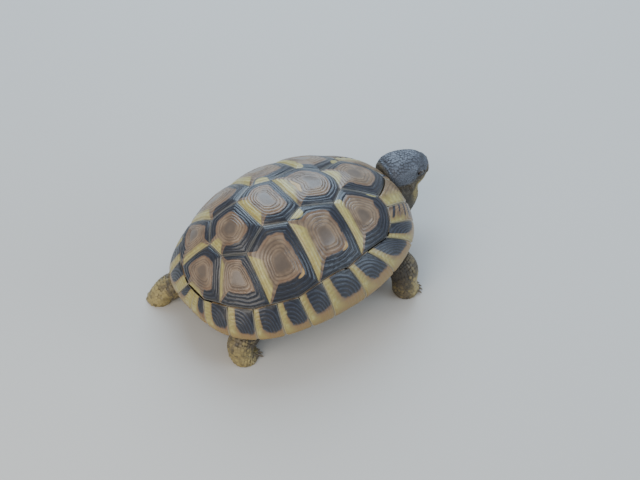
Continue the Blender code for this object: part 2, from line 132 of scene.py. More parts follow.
def makeObject(name, points, quads, fans, look=None, fields=None):
    # one object from whole arrays, its faces turned outwards if its volume comes out negative
    points = np.asarray(points, np.float32)
    a, b, c = (points[fans[:, k]] for k in range(3))
    volume = np.einsum("ij,ij->", a, np.cross(b, c))
    for i, j, k in ((0, 1, 2), (0, 2, 3)):
        a, b, c = points[quads[:, i]], points[quads[:, j]], points[quads[:, k]]
        volume += np.einsum("ij,ij->", a, np.cross(b, c))
    if volume < 0:
        quads, fans = quads[:, ::-1], fans[:, ::-1]
    corners = np.concatenate([quads.ravel(), fans.ravel()]).astype(np.int32)
    starts = np.concatenate([np.arange(len(quads)) * 4,
                             4 * len(quads) + np.arange(len(fans)) * 3]).astype(np.int32)
    mesh = bpy.data.meshes.new(name)
    mesh.vertices.add(len(points))
    mesh.vertices.foreach_set("co", points.ravel())
    mesh.loops.add(len(corners))
    mesh.loops.foreach_set("vertex_index", corners)
    mesh.polygons.add(len(starts))
    mesh.polygons.foreach_set("loop_start", starts)
    mesh.update(calc_edges=True)
    mesh.shade_smooth()
    for field, values in (fields or {}).items():
        addField(mesh, field, values)
    piece = newObject(name, mesh)
    if look:
        mesh.materials.append(look)
    return piece


def readMesh(items, key, width, kind=np.float32):
    # one row of values for each of a mesh's points, normals, edges or corners
    values = np.empty(len(items) * width, kind)
    items.foreach_get(key, values)
    return values.reshape(-1, width)


def addField(mesh, field, values):
    layer = mesh.attributes.new(field, "FLOAT", "POINT")
    layer.data.foreach_set("value", np.asarray(values, np.float32).ravel())


def titled(words):
    return "".join(word.capitalize() for word in words)


def place(piece, slot, *nodes):
    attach(piece, "root")
    if nodes:
        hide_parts(*nodes)


# shader maths as expressions
class Wire:
    def __init__(self, look, socket):
        self.look, self.socket = look, socket

    def maths(self, operation, *values):
        return self.look.add("ShaderNodeMath", {"operation": operation}, dict(enumerate(values)))

    def __add__(self, other):
        return self.maths("ADD", self, other)

    def __sub__(self, other):
        return self.maths("SUBTRACT", self, other)

    def __rsub__(self, other):
        return self.maths("SUBTRACT", other, self)

    def __mul__(self, other):
        return self.maths("MULTIPLY", self, other)

    __radd__ = __add__
    __rmul__ = __mul__

    def most(self, other):
        return self.maths("MAXIMUM", self, other)

    def step(self, low, high):
        # 0 at low, 1 at high, eased between
        return self.look.add("ShaderNodeMapRange", {"interpolation_type": "SMOOTHSTEP"},
                             {"Value": self, "From Min": low, "From Max": high})


class Look:
    # one finish; add() makes any node from its type, its settings and its sockets' values
    def __init__(self, name, fixed):
        self.material = bpy.data.materials.new(name)
        self.material.use_nodes = True
        self.nodes = self.material.node_tree.nodes
        self.links = self.material.node_tree.links
        self.shader = self.nodes["Principled BSDF"]
        for socket, value in fixed.items():
            self.shader.inputs[socket].default_value = value
        self.space = self.add("ShaderNodeTexCoord", {}, {}, "Object")

    def add(self, kind, settings, values, output=0):
        node = self.nodes.new(kind)
        for setting, value in settings.items():
            setattr(node, setting, value)
        for socket, value in values.items():
            if isinstance(value, Wire):
                self.links.new(value.socket, node.inputs[socket])
            else:
                node.inputs[socket].default_value = value
        return Wire(self, node.outputs[output])

    def field(self, name):
        return self.add("ShaderNodeAttribute", {"attribute_name": name}, {}, "Fac")

    def grain(self, scale, detail=3.0, roughness=0.55, stretch=None):
        space = self.space
        if stretch:
            space = self.add("ShaderNodeMapping", {}, {"Vector": space, "Scale": stretch})
        return self.add("ShaderNodeTexNoise", {},
                        {"Vector": space, "Scale": scale, "Detail": detail, "Roughness": roughness})

    def cells(self, scale, feature="DISTANCE_TO_EDGE"):
        return self.add("ShaderNodeTexVoronoi", {"feature": feature},
                        {"Vector": self.space, "Scale": scale})

    def blend(self, share, a, b):
        a, b = ((*c, 1) if isinstance(c, tuple) else c for c in (a, b))
        return self.add("ShaderNodeMix", {"data_type": "RGBA"}, {"Factor": share, 6: a, 7: b}, 2)

    def feed(self, socket, wire):
        self.links.new(wire.socket, self.shader.inputs[socket])

    def bump(self, height, strength, distance):
        bumped = self.add("ShaderNodeBump", {}, {"Height": height, "Strength": strength,
                                                 "Distance": distance})
        self.feed("Normal", bumped)


# the horn of the shell
# the black horn is tinted a little blue, and the pale blue for the ridge tops of its bands is a
# painted highlight: both are painted sky reflection
hornTones = {
    "tan": (0.285, 0.195, 0.118), "brown": (0.150, 0.100, 0.062), "areola": (0.098, 0.073, 0.056),
    "dark": (0.012, 0.0135, 0.020), "darkCrestSheen": (0.060, 0.074, 0.116), "halo": (0.24, 0.125, 0.060),
    "dust": (0.30, 0.235, 0.17),
    "yellow": (0.425, 0.352, 0.096), "paleYellow": (0.50, 0.445, 0.17), "warm": (0.46, 0.30, 0.11),
    "rimYellow": (0.36, 0.295, 0.080), "rimPaleYellow": (0.445, 0.39, 0.145),
    "rim": (0.255, 0.165, 0.058), "seam": (0.40, 0.37, 0.28), "groove": (0.075, 0.050, 0.036),
}


def hornLook(name, base, deep, roughness, yellows=("yellow", "paleYellow")):
    # brown horn with growth lines, then dark bands, yellow bands and pale young horn at the
    # seams, each cut out of a smooth field by a threshold that noise moves about; the dark bands
    # carry a painted pale blue highlight on their ridge tops
    tone = hornTones
    deepYellow, paleYellow = (tone[key] for key in yellows)
    look = Look(name, {"Roughness": roughness, "Coat Roughness": 0.18, "Specular IOR Level": 0.55})
    broad, fine = look.grain(130, 4), look.grain(900, 5, 0.7)
    streak = look.grain(420, 3, 0.6)
    groove, ring = look.field("groove"), look.field("ring")
    wander = (broad - 0.5) * 0.16 + (streak - 0.5) * 0.09
    colour = look.blend(broad.step(0.34, 0.66), deep, base)
    colour = look.blend(ring.step(0.34, 0.16) * 0.75, colour, tone["areola"])
    colour = look.blend(groove * 0.8, colour, tone["groove"])
    warm = (look.field("warm") + wander).step(0.3, 0.7)
    colour = look.blend(warm, colour, tone["warm"])
    rim = (look.field("rim") + wander).step(0.35, 0.75)
    colour = look.blend(rim, colour, tone["rim"])
    yellow = look.field("yellow") + wander * 0.9
    colour = look.blend(yellow.step(-0.14, 0.02) * 0.6, colour, deepYellow)
    dark = (look.field("dark") + wander * 0.8 + (fine - 0.5) * 0.06)
    halo = dark.step(-0.16, 0.0) * 0.45
    colour = look.blend(halo, colour, tone["halo"])
    # painted highlight: the ridge tops in the dark bands are lightened to a pale blue, as if they
    # reflected the sky
    crestSheen = ((1 - groove) * 0.7 + fine * 0.3).step(0.72, 0.95)
    darkWithSheen = look.blend(crestSheen * (streak * 0.8 + 0.3), tone["dark"], tone["darkCrestSheen"])
    colour = look.blend(dark.step(-0.03, 0.03), colour, darkWithSheen)
    yellowTone = look.blend(streak.step(0.35, 0.7), deepYellow, paleYellow)
    yellowTone = look.blend(groove * 0.5, yellowTone, tone["brown"])
    colour = look.blend(yellow.step(-0.02, 0.07), colour, yellowTone)
    seam = (look.field("edge") + (streak - 0.5) * 0.35).step(0.75, 0.25) * look.field("pale")
    colour = look.blend(seam, colour, tone["seam"])
    dusty = groove.most(look.field("edge").step(2.2, 0.3)) * (broad - 0.1).step(0.3, 0.8) * 0.22
    colour = look.blend(dusty, colour, tone["dust"])
    look.feed("Base Color", colour)
    look.feed("Roughness", (fine * 0.22 + broad * 0.16 + (roughness - 0.19)).most(0.12))
    look.feed("Coat Weight", (1 - groove) * 0.35)
    look.bump(fine * 0.5 + streak * 0.8, 0.35, 0.25 * mm)
    return look.material


carapaceHorn = hornLook("carapaceHorn", hornTones["tan"], hornTones["brown"], 0.36)
marginalHorn = hornLook("marginalHorn", (0.27, 0.175, 0.085), (0.17, 0.105, 0.05), 0.38,
                        ("rimYellow", "rimPaleYellow"))
plastronHorn = hornLook("plastronHorn", (0.50, 0.38, 0.17), (0.40, 0.29, 0.12), 0.42)
print("horn finishes made")


# the dome and its seams, as the solids have them: disc coordinates, forward and left; widths,
# heights and shifts are shares of the half length, and each pair of powers is for the middle of
# the side and for what is taken off it towards the front
shell = {
    "halfLength": 75 * mm, "halfWidth": 0.755, "height": 0.73, "rearRise": 0.338,
    "peakShift": 0.026, "frontArch": 0.152, "noseUp": math.radians(2.3),
    "centre": (-14.6 * mm, 0, 29 * mm), "thickness": 1.8 * mm, "crown": 0.8 * mm,
    "span": math.radians(89), "planPowers": (1.9, 0.25), "rimPower": 2.735, "planChange": 2.6,
    "outPowers": (0.949, 0.068), "heightPowers": (1.102, 0.302),
}


def domePoint(p, q):
    # plan: a superellipse, rounder at the peak; height: a cosine of the disc radius, steeper in
    # front and higher behind; the rim rises in front as the square of the forward direction
    rho, angle = np.minimum(np.hypot(p, q), 1), np.arctan2(q, p)
    c, s = np.cos(angle), np.sin(angle)
    peakPower, outPower, heightPower = (
        shell[key][0] - shell[key][1] * c for key in ("planPowers", "outPowers", "heightPowers"))
    power = peakPower + (shell["rimPower"] - peakPower) * rho ** shell["planChange"]
    reach = ((np.abs(c) + 1e-9) ** power
             + (np.abs(s / shell["halfWidth"]) + 1e-9) ** power) ** (-1 / power)
    last = math.cos(shell["span"])
    turn = rho * shell["span"]
    out = reach * np.abs(np.sin(turn)) ** outPower
    height = np.maximum((np.cos(turn) - last) / (1 - last), 0) ** heightPower
    x = out * c + shell["peakShift"] * height
    z = shell["height"] * height * (1 - shell["rearRise"] * x)
    z = z + (1 - height) * shell["frontArch"] * np.maximum(c, 0) ** 2
    return np.stack([x, out * s, z], -1) * shell["halfLength"]


def dome(p, q, depth):
    # the point at a depth under the dome, along its normal
    here = np.hypot(p, q)
    within = np.minimum(1, 0.985 / np.maximum(here, 1e-9))
    a, b, step = p * within, q * within, 0.004
    across = domePoint(a + step, b) - domePoint(a - step, b)
    along = domePoint(a, b + step) - domePoint(a, b - step)
    normal = unit(np.cross(across, along))
    return domePoint(p, q) - normal * np.asarray(depth)[..., None]


def toBody(points):
    # from the shell's own frame: pitched nose up, then carried to its place above the floor
    c, s = math.cos(shell["noseUp"]), math.sin(shell["noseUp"])
    x, y, z = points[..., 0], points[..., 1], points[..., 2]
    return np.stack([x * c - z * s, y, x * s + z * c], -1) + shell["centre"]


nuchal = (0.708, 0.035)
v1Front, v1v2, v2Side = (0.504, 0.200), (0.250, 0.087), (0.176, 0.191)
v2v3, v3Side, v3v4, v4Side = (-0.044, 0.159), (-0.171, 0.202), (-0.283, 0.122), (-0.442, 0.176)
v4v5, v5Rear, tailSeam = (-0.541, 0.060), (-0.745, 0.216), (-0.808, 0.092)
marginalSeams = [
    (nuchal, 2.2), ((0.553, 0.291), 14), ((0.537, 0.430), 25), ((0.482, 0.537), 37),
    ((0.273, 0.612), 55), ((0.078, 0.681), 76), ((-0.184, 0.660), 99.4), ((-0.385, 0.621), 114.8),
    ((-0.514, 0.526), 129.2), ((-0.635, 0.424), 142.3), ((-0.724, 0.273), 155.2), (tailSeam, 168),
    ((-0.816, 0.0), 180),
]


def between(a, b, t):
    return tuple(x + (y - x) * t for x, y in zip(a, b))


seams = [corner for corner, degrees in marginalSeams]
c1c2 = between(seams[4], seams[5], 0.25)
c2c3 = between(seams[6], seams[7], 0.11)
c3c4 = between(seams[8], seams[9], 0.28)


def inset(corners, distance):
    # a convex outline with every side moved inwards
    moved = []
    for i, here in enumerate(corners):
        lines = []
        for a, b in ((corners[i - 1], here), (here, corners[(i + 1) % len(corners)])):
            length = math.hypot(b[0] - a[0], b[1] - a[1])
            nx, ny = -(b[1] - a[1]) / length, (b[0] - a[0]) / length
            lines.append((nx, ny, nx * a[0] + ny * a[1] + distance))
        (a1, b1, d1), (a2, b2, d2) = lines
        det = a1 * b2 - b1 * a2
        if abs(det) < 0.15:
            moved.append((here[0] + a1 * distance, here[1] + b1 * distance))
        else:
            moved.append(((d1 * b2 - d2 * b1) / det, (a1 * d2 - a2 * d1) / det))
    return moved


def outline(corners, count, like=None):
    # samples round an outline, every corner among them, and the side that each lies on; like
    # gives another outline's sides, to be sampled in step with it
    points, sides = [], []
    lengths = [math.dist(a, b) for a, b in zip(corners, corners[1:] + corners[:1])]
    for i, length in enumerate(lengths):
        pieces = max(2, round(count * length / sum(lengths)))
        if like is not None:
            pieces = int((like == i).sum())
        t = np.arange(pieces)[:, None] / pieces
        a, b = np.array(corners[i]), np.array(corners[(i + 1) % len(corners)])
        points.append(a + (b - a) * t)
        sides.append(np.full(pieces, i))
    return np.concatenate(points), np.concatenate(sides)


# how each side of a plate is marked: where its dark band starts and ends, where its yellow band
# starts, from 0 at the middle to 1 at the seam, and how strong its ridges are; a number above 1
# is past the seam, for a band that runs right up to it or one that is left out
sideMarks = {
    "front": (0.60, 1.2, 2.0, 1.1),
    "bottom": (0.52, 1.2, 2.0, 1.9),
    "rear": (1.6, 2.0, 0.68, 0.75),
    "rearThin": (1.6, 2.0, 0.80, 0.8),
    "top": (0.76, 1.2, 2.0, 0.8),
    "flank": (0.64, 1.2, 2.0, 0.9),
    "plain": (1.6, 2.0, 2.0, 0.8),
}
plateForm = {"around": 208, "rings": 66, "edgeRings": 16, "growth": 6.5, "ridge": 0.34 * mm,
             "areola": 0.27, "rollDepth": 0.65 * mm, "rollWidth": 2.2 * mm, "crown": 1.05 * mm,
             "seam": 0.0008, "footSeam": 0.0004, "rounding": 0.05}


def growthBands(phase, offset):
    # rounded bands between narrow grooves, one for each whole phase, and finer ones, three to one
    return (np.abs(np.sin(np.pi * phase)) ** 0.6,
            np.abs(np.sin(np.pi * phase * 3 + offset)) ** 0.7)


def growthRelief(ring, wobble, strength):
    # the bands and the finer ones on them, from the areola outwards
    start = plateForm["areola"]
    t = np.clip((ring - start) / (1 - start), 0, 1)
    band, thin = growthBands(plateForm["growth"] * t ** 0.9 + wobble, 0.6)
    inside = ramp(start - 0.03, start + 0.06, ring)
    relief = plateForm["ridge"] * strength * inside * (band - 0.5 + 0.25 * (thin - 0.5))
    groove = inside * ((1 - band) ** 1.2 + 0.25 * (1 - thin))
    return relief, groove


def plateSurface(corners, marks, focus, surface, mirror, seed, form):
    # rings of the outline drawn in to the middle of growth: outlines are rounded off inwards,
    # the top swells and is ridged, its edge rolls down into the seam, and the underside closes
    edge, side = outline(inset(corners, form["seam"]), form["around"])
    count = len(edge)
    spoke = edge - focus
    soft = ringBlur(spoke, count * form["rounding"])
    marks = np.array([sideMarks[marks[s]] for s in side])
    marks = ringBlur(marks, count * 0.012)
    length = np.linalg.norm(spoke, axis=1) * shell["halfLength"] * 1.15
    ring = np.concatenate([np.linspace(0.015, 0.9, form["rings"]),
                           np.linspace(0.91, 1, form["edgeRings"])])[:, None]
    share = ring[..., None]
    plan = np.array(focus) + share * (soft * (1 - share ** 3) + spoke * share ** 3)
    turn = 2 * np.pi * np.arange(count) / count
    circle = np.stack([np.cos(turn) * 2.2, np.sin(turn) * 2.2, np.zeros(count)], -1)[None]
    where = circle + ring[..., None] * 3
    wobble = 0.45 * (noise(where, 0.9, seed) - 0.5) + 0.2 * (noise(where, 0.3, seed + 3) - 0.5)
    relief, groove = growthRelief(ring, wobble, marks[:, 3])
    gap = (1 - ring) * length
    roll = form["rollDepth"] * (1 - ramp(0, form["rollWidth"], gap)) ** 1.5
    swell = form["crown"] * (1 - ring ** 3)
    lift = swell + relief * ramp(0, 0.9 * mm, gap) - roll
    p, q = plan[..., 0], plan[..., 1]
    wear = 0.10 * mm * (noise(np.stack([p, q, 0 * p], -1), 0.05, seed + 7) - 0.5)
    top = surface(p, q, -(lift + wear))
    foot, _ = outline(inset(corners, form["footSeam"]), count, side)    # the sides flare below
    wall = surface(foot[:, 0], foot[:, 1], np.full(count, form["rollDepth"] + 0.55 * mm))
    under = [surface(*(np.array(focus) + spoke * s).T, np.full(count, shell["thickness"]))
             for s in (1.0, 0.6, 0.2)]
    points = np.concatenate([top, wall[None], np.stack(under)])
    if mirror:
        points = points * (1, -1, 1)
    rows = points.shape[0]
    low = rows - len(ring)

    def column(values, fill):
        values = np.broadcast_to(values, (len(ring), count))
        tail = np.full((low, count), fill)
        return np.concatenate([np.concatenate([values, tail]).ravel(), [values[0].mean(), fill]])

    dark = np.minimum(ring - marks[:, 0], marks[:, 1] - ring)
    fields = {
        "ring": column(ring, 1.0), "groove": column(groove, 0.0), "dark": column(dark, 0.2),
        "yellow": column(ring - marks[:, 2], -1.0), "edge": column(gap / mm, 5.0),
    }
    flat, quads, fans = closedGrid(points)
    return flat, quads, fans, fields, side, ring, count


def buildPlate(name, node, slot, look, corners, marks, focus, mirror=False, seed=1,
               surface=dome, extras=None, **changes):
    form = {**plateForm, **changes}
    flat, quads, fans, fields, side, ring, count = plateSurface(
        corners, marks, focus, surface, mirror, seed, form)
    size = len(flat)
    fields["warm"], fields["rim"] = np.zeros(size), np.zeros(size)
    fields["pale"] = np.full(size, 0.24)
    if extras:
        extras(fields, side, ring, count)
    piece = makeObject(name, toBody(flat), quads, fans, look, fields)
    place(piece, slot, node)
    return piece


def bothSides(half):
    return half + [(p, -q) for p, q in reversed(half) if abs(q) > 1e-6]


# the left corners of each vertebral from front to rear, its middle of growth and its rear band
vertebrals = [
    ([nuchal, v1Front, v1v2], 0.385, "rear"), ([v1v2, v2Side, v2v3], 0.112, "rear"),
    ([v2v3, v3Side, v3v4], -0.168, "rear"), ([v3v4, v4Side, v4v5], -0.408, "rear"),
    ([v4v5, v5Rear, tailSeam], -0.667, "rearThin"),
]
# the corners of each left costal, its middle of growth and how each of its sides is marked
costals = [
    ([v1Front, seams[1], seams[2], seams[3], seams[4], c1c2, v2Side, v1v2],
     (0.317, 0.338), ["front", "front", "bottom", "bottom", "bottom", "rear", "top", "top"]),
    ([v2Side, c1c2, seams[5], seams[6], c2c3, v3Side, v2v3], (-0.008, 0.411),
     ["front", "bottom", "bottom", "bottom", "rear", "top", "top"]),
    ([v3Side, c2c3, seams[7], seams[8], c3c4, v4Side, v3v4], (-0.355, 0.362),
     ["front", "bottom", "bottom", "bottom", "rear", "top", "top"]),
    ([v4Side, c3c4, seams[9], seams[10], v5Rear, v4v5], (-0.556, 0.215),
     ["front", "bottom", "bottom", "bottom", "rearThin", "top"]),
]


# single patches on a plate: the field, the side that it lies towards, how far along that side,
# its half widths round and outwards, and where it lies from middle to seam
patches = {
    "costal_1": [("yellow", 7, 0.80, 0.030, 0.96, 0.07), ("yellow", 6, 0.0, 0.030, 0.88, 0.13)],
    "costal_2": [("warm", 1, 0.14, 0.050, 0.58, 0.045), ("yellow", 5, 0.55, 0.030, 0.97, 0.17)],
    "costal_3": [("warm", 1, 0.12, 0.055, 0.60, 0.040)],
    "vertebral_1": [("yellow", 0, 0.20, 0.050, 0.98, 0.10), ("fade", 2, 1.0, 0.045, 0.9, 0.30)],
    "vertebral_2": [("warm", 2, 0.5, 0.08, 0.55, 0.06), ("fade", 2, 1.0, 0.065, 0.9, 0.30)],
    "vertebral_4": [("yellow", 2, 0.5, 0.035, 0.84, 0.20)],
}


def patchesFor(key):
    def extras(fields, side, ring, count):
        for field, number, share, half, middle, depth in patches.get(key, []):
            mine = np.flatnonzero(side == number)
            centre = mine[0] + share * len(mine)
            aside = np.abs((np.arange(count) - centre + count / 2) % count - count / 2) / count
            glow = np.exp(-(aside / half) ** 2 * 0.7 - ((ring - middle) / depth) ** 2 * 0.7)
            glow = np.concatenate([glow.ravel(), np.zeros(len(fields["ring"]) - glow.size)])
            if field == "yellow":
                fields["yellow"] = np.maximum(fields["yellow"], (glow - 0.5) * 0.5)
            elif field == "fade":
                fields["yellow"] = fields["yellow"] - glow * 0.4
            else:
                fields["warm"] = np.maximum(fields["warm"], glow * 1.1)
                fields["dark"] = fields["dark"] - 0.30 * np.maximum(glow - 0.3, 0)
    return extras


for number, (half, focus, rear) in enumerate(vertebrals, 1):
    buildPlate(f"plateVertebral{number}", f"vertebral_{number}", "carapace_horn", carapaceHorn,
               bothSides(half), ["flank", "flank", rear, "flank", "flank", "front"], (focus, 0),
               seed=number, extras=patchesFor(f"vertebral_{number}"))
for number, (corners, focus, marks) in enumerate(costals, 1):
    extras = patchesFor(f"costal_{number}")
    for side, mirror in (("Left", False), ("Right", True)):
        buildPlate(f"plateCostal{side}{number}", f"costal_{side.lower()}_{number}", "carapace_horn",
                   carapaceHorn, corners, marks, focus, mirror, 10 + number * 2 + mirror,
                   extras=extras)
print("vertebral and costal plates made")

# the marginals, which wrap the rim
rimForm = {"under": 9.5 * mm, "bridgeUnder": 13 * mm, "bridgeDrop": 12.6 * mm, "along": 48,
           "down": 46, "turn": 22, "back": 7, "growth": 6, "areola": 0.22, "ridge": 0.32 * mm,
           "focus": (0.78, 0.80), "rollDepth": 0.65 * mm, "rollWidth": 1.7 * mm}


def bridgeShare(degrees):
    degrees = np.abs(degrees)
    return ramp(47, 68, degrees) * (1 - ramp(104, 122, degrees))


def bend(a, b, c, t):
    # a quadratic curve from a to c, drawn towards b
    return a * (1 - t) ** 2 + b * 2 * t * (1 - t) + c * t * t


def rimSection(p, q, degrees, shift):
    # closed sections of the rim: down the dome from the seam, round the edge, back underneath
    # and up the inside; one section for each entry of p, q and degrees; at the surface the seam
    # stands open by the shift, and it closes below
    angle = np.radians(degrees)
    rimP, rimQ = np.cos(angle), np.sin(angle)
    atRim = domePoint(rimP, rimQ)
    outward = unit(atRim * (1, 1, 0))
    bridge = bridgeShare(degrees)[:, None]
    free = 1 - bridge
    under = atRim - outward * (rimForm["under"] * free + rimForm["bridgeUnder"] * bridge)
    under = under + upwards * (0.3 * mm * free - rimForm["bridgeDrop"] * bridge)
    pull = atRim + outward * 0.4 * mm - upwards * (2.6 * mm * free + 5 * mm * bridge)
    innerEnd = under + upwards * (2.4 * mm * free + 1.4 * mm * bridge)
    innerEnd = innerEnd - outward * 1.6 * mm * bridge
    innerTop = dome(p, q, np.full(len(p), shell["thickness"]))
    wall = atRim - outward * 2.6 * mm - upwards * 2 * mm
    innerPull = (innerEnd + innerTop) * 0.5 * free + wall * bridge
    t = np.linspace(0, 1, rimForm["down"])[None]
    t = shift[:, None] + (1 - shift[:, None]) * t
    topP, topQ = p[:, None] + (rimP - p)[:, None] * t, q[:, None] + (rimQ - q)[:, None] * t
    top = dome(topP, topQ, -0.6 * shell["crown"] * np.sin(np.pi * t) + 0 * topP)
    curve = lambda a, b, c, count, first: bend(
        a[:, None], b[:, None], c[:, None], np.linspace(first, 1, count)[None, :, None])
    turn = curve(atRim, pull, under, rimForm["turn"], 1 / rimForm["turn"])
    back = curve(innerEnd, innerPull, innerTop, rimForm["back"], 0)
    return np.concatenate([top, turn, back], axis=1)


def buildMarginal(name, node, upper, angles, mirror, seed, markings):
    # sections along the rim from one seam to the next; u runs from the front seam to the rear
    # one, v from the upper seam to the rim and on round it
    start, end = angles
    margin = 0.16 * mm / (shell["halfLength"] * math.radians(abs(end - start)))
    u = np.linspace(0, 1, rimForm["along"])
    u = u - 0.055 * np.sin(2 * np.pi * u)               # closer together at the two seams
    t = margin + (1 - 2 * margin) * u
    knots = np.linspace(0, 1, len(upper))
    p, q = (np.interp(t, knots, [corner[k] for corner in upper]) for k in (0, 1))
    degrees = start + (end - start) * t
    rimP, rimQ = np.cos(np.radians(degrees)), np.sin(np.radians(degrees))
    shift = plateForm["seam"] / np.hypot(rimP - p, rimQ - q)
    away = plateForm["footSeam"] / plateForm["seam"] * shift
    grid = rimSection(p + (rimP - p) * away, q + (rimQ - q) * away, degrees, shift - away)
    along, around = grid.shape[:2]
    v = np.concatenate([np.linspace(0, 1, rimForm["down"]),
                        1 + 0.5 * np.linspace(1 / rimForm["turn"], 1, rimForm["turn"]),
                        np.full(rimForm["back"], 2.0)])[None]
    u = u[:, None]
    across = np.roll(grid, -1, 1) - np.roll(grid, 1, 1)
    lengthwise = np.gradient(grid, axis=0)
    normal = unit(np.cross(lengthwise, across))
    outside = grid[along // 2, rimForm["down"] // 2] - grid[along // 2].mean(0)
    if (normal[along // 2, rimForm["down"] // 2] * outside).sum() < 0:
        normal = -normal
    spanU = np.linalg.norm(grid[-1, rimForm["down"]] - grid[0, rimForm["down"]])
    spanV = np.linalg.norm(grid[along // 2, 0] - grid[along // 2, rimForm["down"] - 1])
    gap = np.minimum(np.minimum(u, 1 - u) * spanU, np.where(v <= 1, v * spanV, 9))
    cover = np.where(v < 1.9, 1.0, 0.0) * (1 - ramp(1.35, 1.5, v))
    focusU, focusV = rimForm["focus"]
    awayU = np.where(u < focusU, (focusU - u) / focusU, (u - focusU) / (1 - focusU) * 0.45)
    awayV = np.where(v < focusV, (focusV - v) / focusV, (v - focusV) / 0.75)
    ring = (np.abs(awayU) ** 2.8 + np.abs(awayV) ** 2.8) ** (1 / 2.8)
    where = np.stack([u * 3 + 0 * v, v * 3 + 0 * u, 0 * u + 0 * v], -1)
    wobble = 0.5 * (noise(where, 0.8, seed) - 0.5) + 0.2 * (noise(where, 0.3, seed + 2) - 0.5)
    areola = rimForm["areola"]
    t = np.clip((ring - areola) / (1 - areola), 0, 1)
    band, thin = growthBands(rimForm["growth"] * t + wobble, 0.5)
    inside = ramp(0.2, 0.32, ring) * (1 - 0.55 * ramp(0.85, 1.1, v)) * (1 - ramp(1.3, 1.5, v))
    relief = rimForm["ridge"] * inside * (band - 0.5 + 0.3 * (thin - 0.5))
    relief = relief + 0.12 * mm * (noise(where, 0.5, seed + 5) - 0.5)
    roll = rimForm["rollDepth"] * (1 - ramp(0, rimForm["rollWidth"], gap)) ** 1.5
    grid = grid + normal * (cover * (relief * ramp(0, 0.8 * mm, gap) - roll))[..., None]
    if mirror:
        grid = grid * (1, -1, 1)
    dark, yellow, rim = markings(u, v)
    fields = {"ring": ring, "groove": inside * (1 - band) ** 1.2, "dark": dark, "yellow": yellow,
              "edge": gap / mm, "rim": rim}
    flat, quads, fans = closedGrid(grid)
    whole = {}
    for field, values in fields.items():
        values = np.broadcast_to(values, (along, around)).ravel()
        whole[field] = np.concatenate([values, values[:2]])
    whole["warm"], whole["pale"] = np.zeros(len(flat)), np.full(len(flat), 0.5)
    piece = makeObject(name, toBody(flat), quads, fans, marginalHorn, whole)
    place(piece, "marginal_horn", node)


def marginalMarks(width, depth, edge=0.70):
    # a dark blotch with rounded corners below, yellow behind it, brown along the rim
    def marks(u, v):
        middle = width * 0.46
        blotch = (np.abs((u - middle) / (width - middle)) ** 3.6
                  + (np.minimum(v, 1.6) / depth) ** 3.2) ** 0.3
        dark = np.where(v > 1.5, -0.5, 0.45 * (1 - blotch))
        yellow = 0.5 * np.minimum(u - (width + 0.03), edge + 0.12 * u - v)
        rim = ramp(edge - 0.15, edge + 0.15, v) + 0 * u
        return dark, yellow, rim
    return marks


def firstMarginalMarks(u, v):
    # pale brown horn with a yellow corner at the seam's rear end
    return -0.4 + 0 * u * v, 0.5 * np.minimum(u - 0.66, 0.45 - v), 0.5 * ramp(0.2, 0.9, v) + 0 * u


def secondMarginalMarks(u, v):
    # brown horn with dark rays that fan out towards the front of the rim
    fan = v + 0.5 * (1 - u) * (v - 0.35)
    rays = np.sin(30 * fan) * 0.15 + np.sin(11 * fan + 1) * 0.04 - 0.04 - 0.09 * u
    dark = np.minimum(rays, 0.4 * np.minimum(0.74 - u, 1.02 - v))
    return dark, 0.5 * np.minimum(u - 0.80, 0.35 - v), 0.3 * ramp(0.3, 0.9, v) + 0 * u


marginalKinds = {1: firstMarginalMarks, 2: secondMarginalMarks}
for number, (width, depth) in enumerate([(0.74, 0.78), (0.76, 0.76), (0.76, 0.72), (0.76, 0.70),
                                         (0.76, 0.68), (0.76, 0.70), (0.78, 0.74), (0.70, 0.74),
                                         (0.62, 0.70), (0.50, 0.55)], 3):
    marginalKinds[number] = marginalMarks(width, depth)
for side, mirror in (("Left", False), ("Right", True)):
    for number, ((first, start), (second, end)) in enumerate(
            zip(marginalSeams, marginalSeams[1:]), 1):
        upper = [first, v1Front, second] if number == 1 else [first, second]
        name = f"plateMarginal{side}{number}" if number < 12 else f"plateSupracaudal{side}"
        node = (f"marginal_{side.lower()}_{number}" if number < 12
                else f"supracaudal_{side.lower()}")
        buildMarginal(name, node, upper, (start, end), mirror, 40 + number * 2 + mirror,
                      marginalKinds[number])
buildMarginal("plateNuchal", "nuchal", [(nuchal[0], -nuchal[1]), nuchal], (-2.2, 2.2), False, 39,
              lambda u, v: (0.25 - np.abs(u - 0.5) - 0.3 * v, -0.5 + 0 * u * v, 0.4 * v + 0 * u))
print("marginal plates made")

# the plastron
bellyForm = {"depth": 16 * mm, "rise": 3.4 * mm, "side": 43 * mm}
bellyPlates = {
    "gular": [(0.84, 0), (0.85, 0.12), (0.73, 0.235), (0.62, 0)],
    "humeral": [(0.62, 0), (0.73, 0.235), (0.45, 0.385), (0.40, 0)],
    "pectoral": [(0.40, 0), (0.45, 0.385), (0.35, 0.53), (0.17, 0.555), (0.22, 0)],
    "abdominal": [(0.22, 0), (0.17, 0.555), (-0.28, 0.555), (-0.38, 0.36), (-0.27, 0)],
    "femoral": [(-0.27, 0), (-0.38, 0.36), (-0.60, 0.245), (-0.53, 0)],
    "anal": [(-0.53, 0), (-0.60, 0.245), (-0.80, 0.17), (-0.71, 0)],
}


def belly(p, q, depth):
    # a nearly flat floor whose sides curl up as the cube of the distance from the middle, with
    # a groove along the middle; depth is measured upwards into the body
    x, y = p * shell["halfLength"], q * shell["halfLength"]
    groove = 0.32 * mm * np.exp(-(y / (0.8 * mm)) ** 2) * (depth < shell["thickness"] * 0.5)
    z = -bellyForm["depth"] + bellyForm["rise"] * (np.abs(y) / bellyForm["side"]) ** 3
    return np.stack([x + 0 * depth, y + 0 * depth, z + depth + groove], -1)


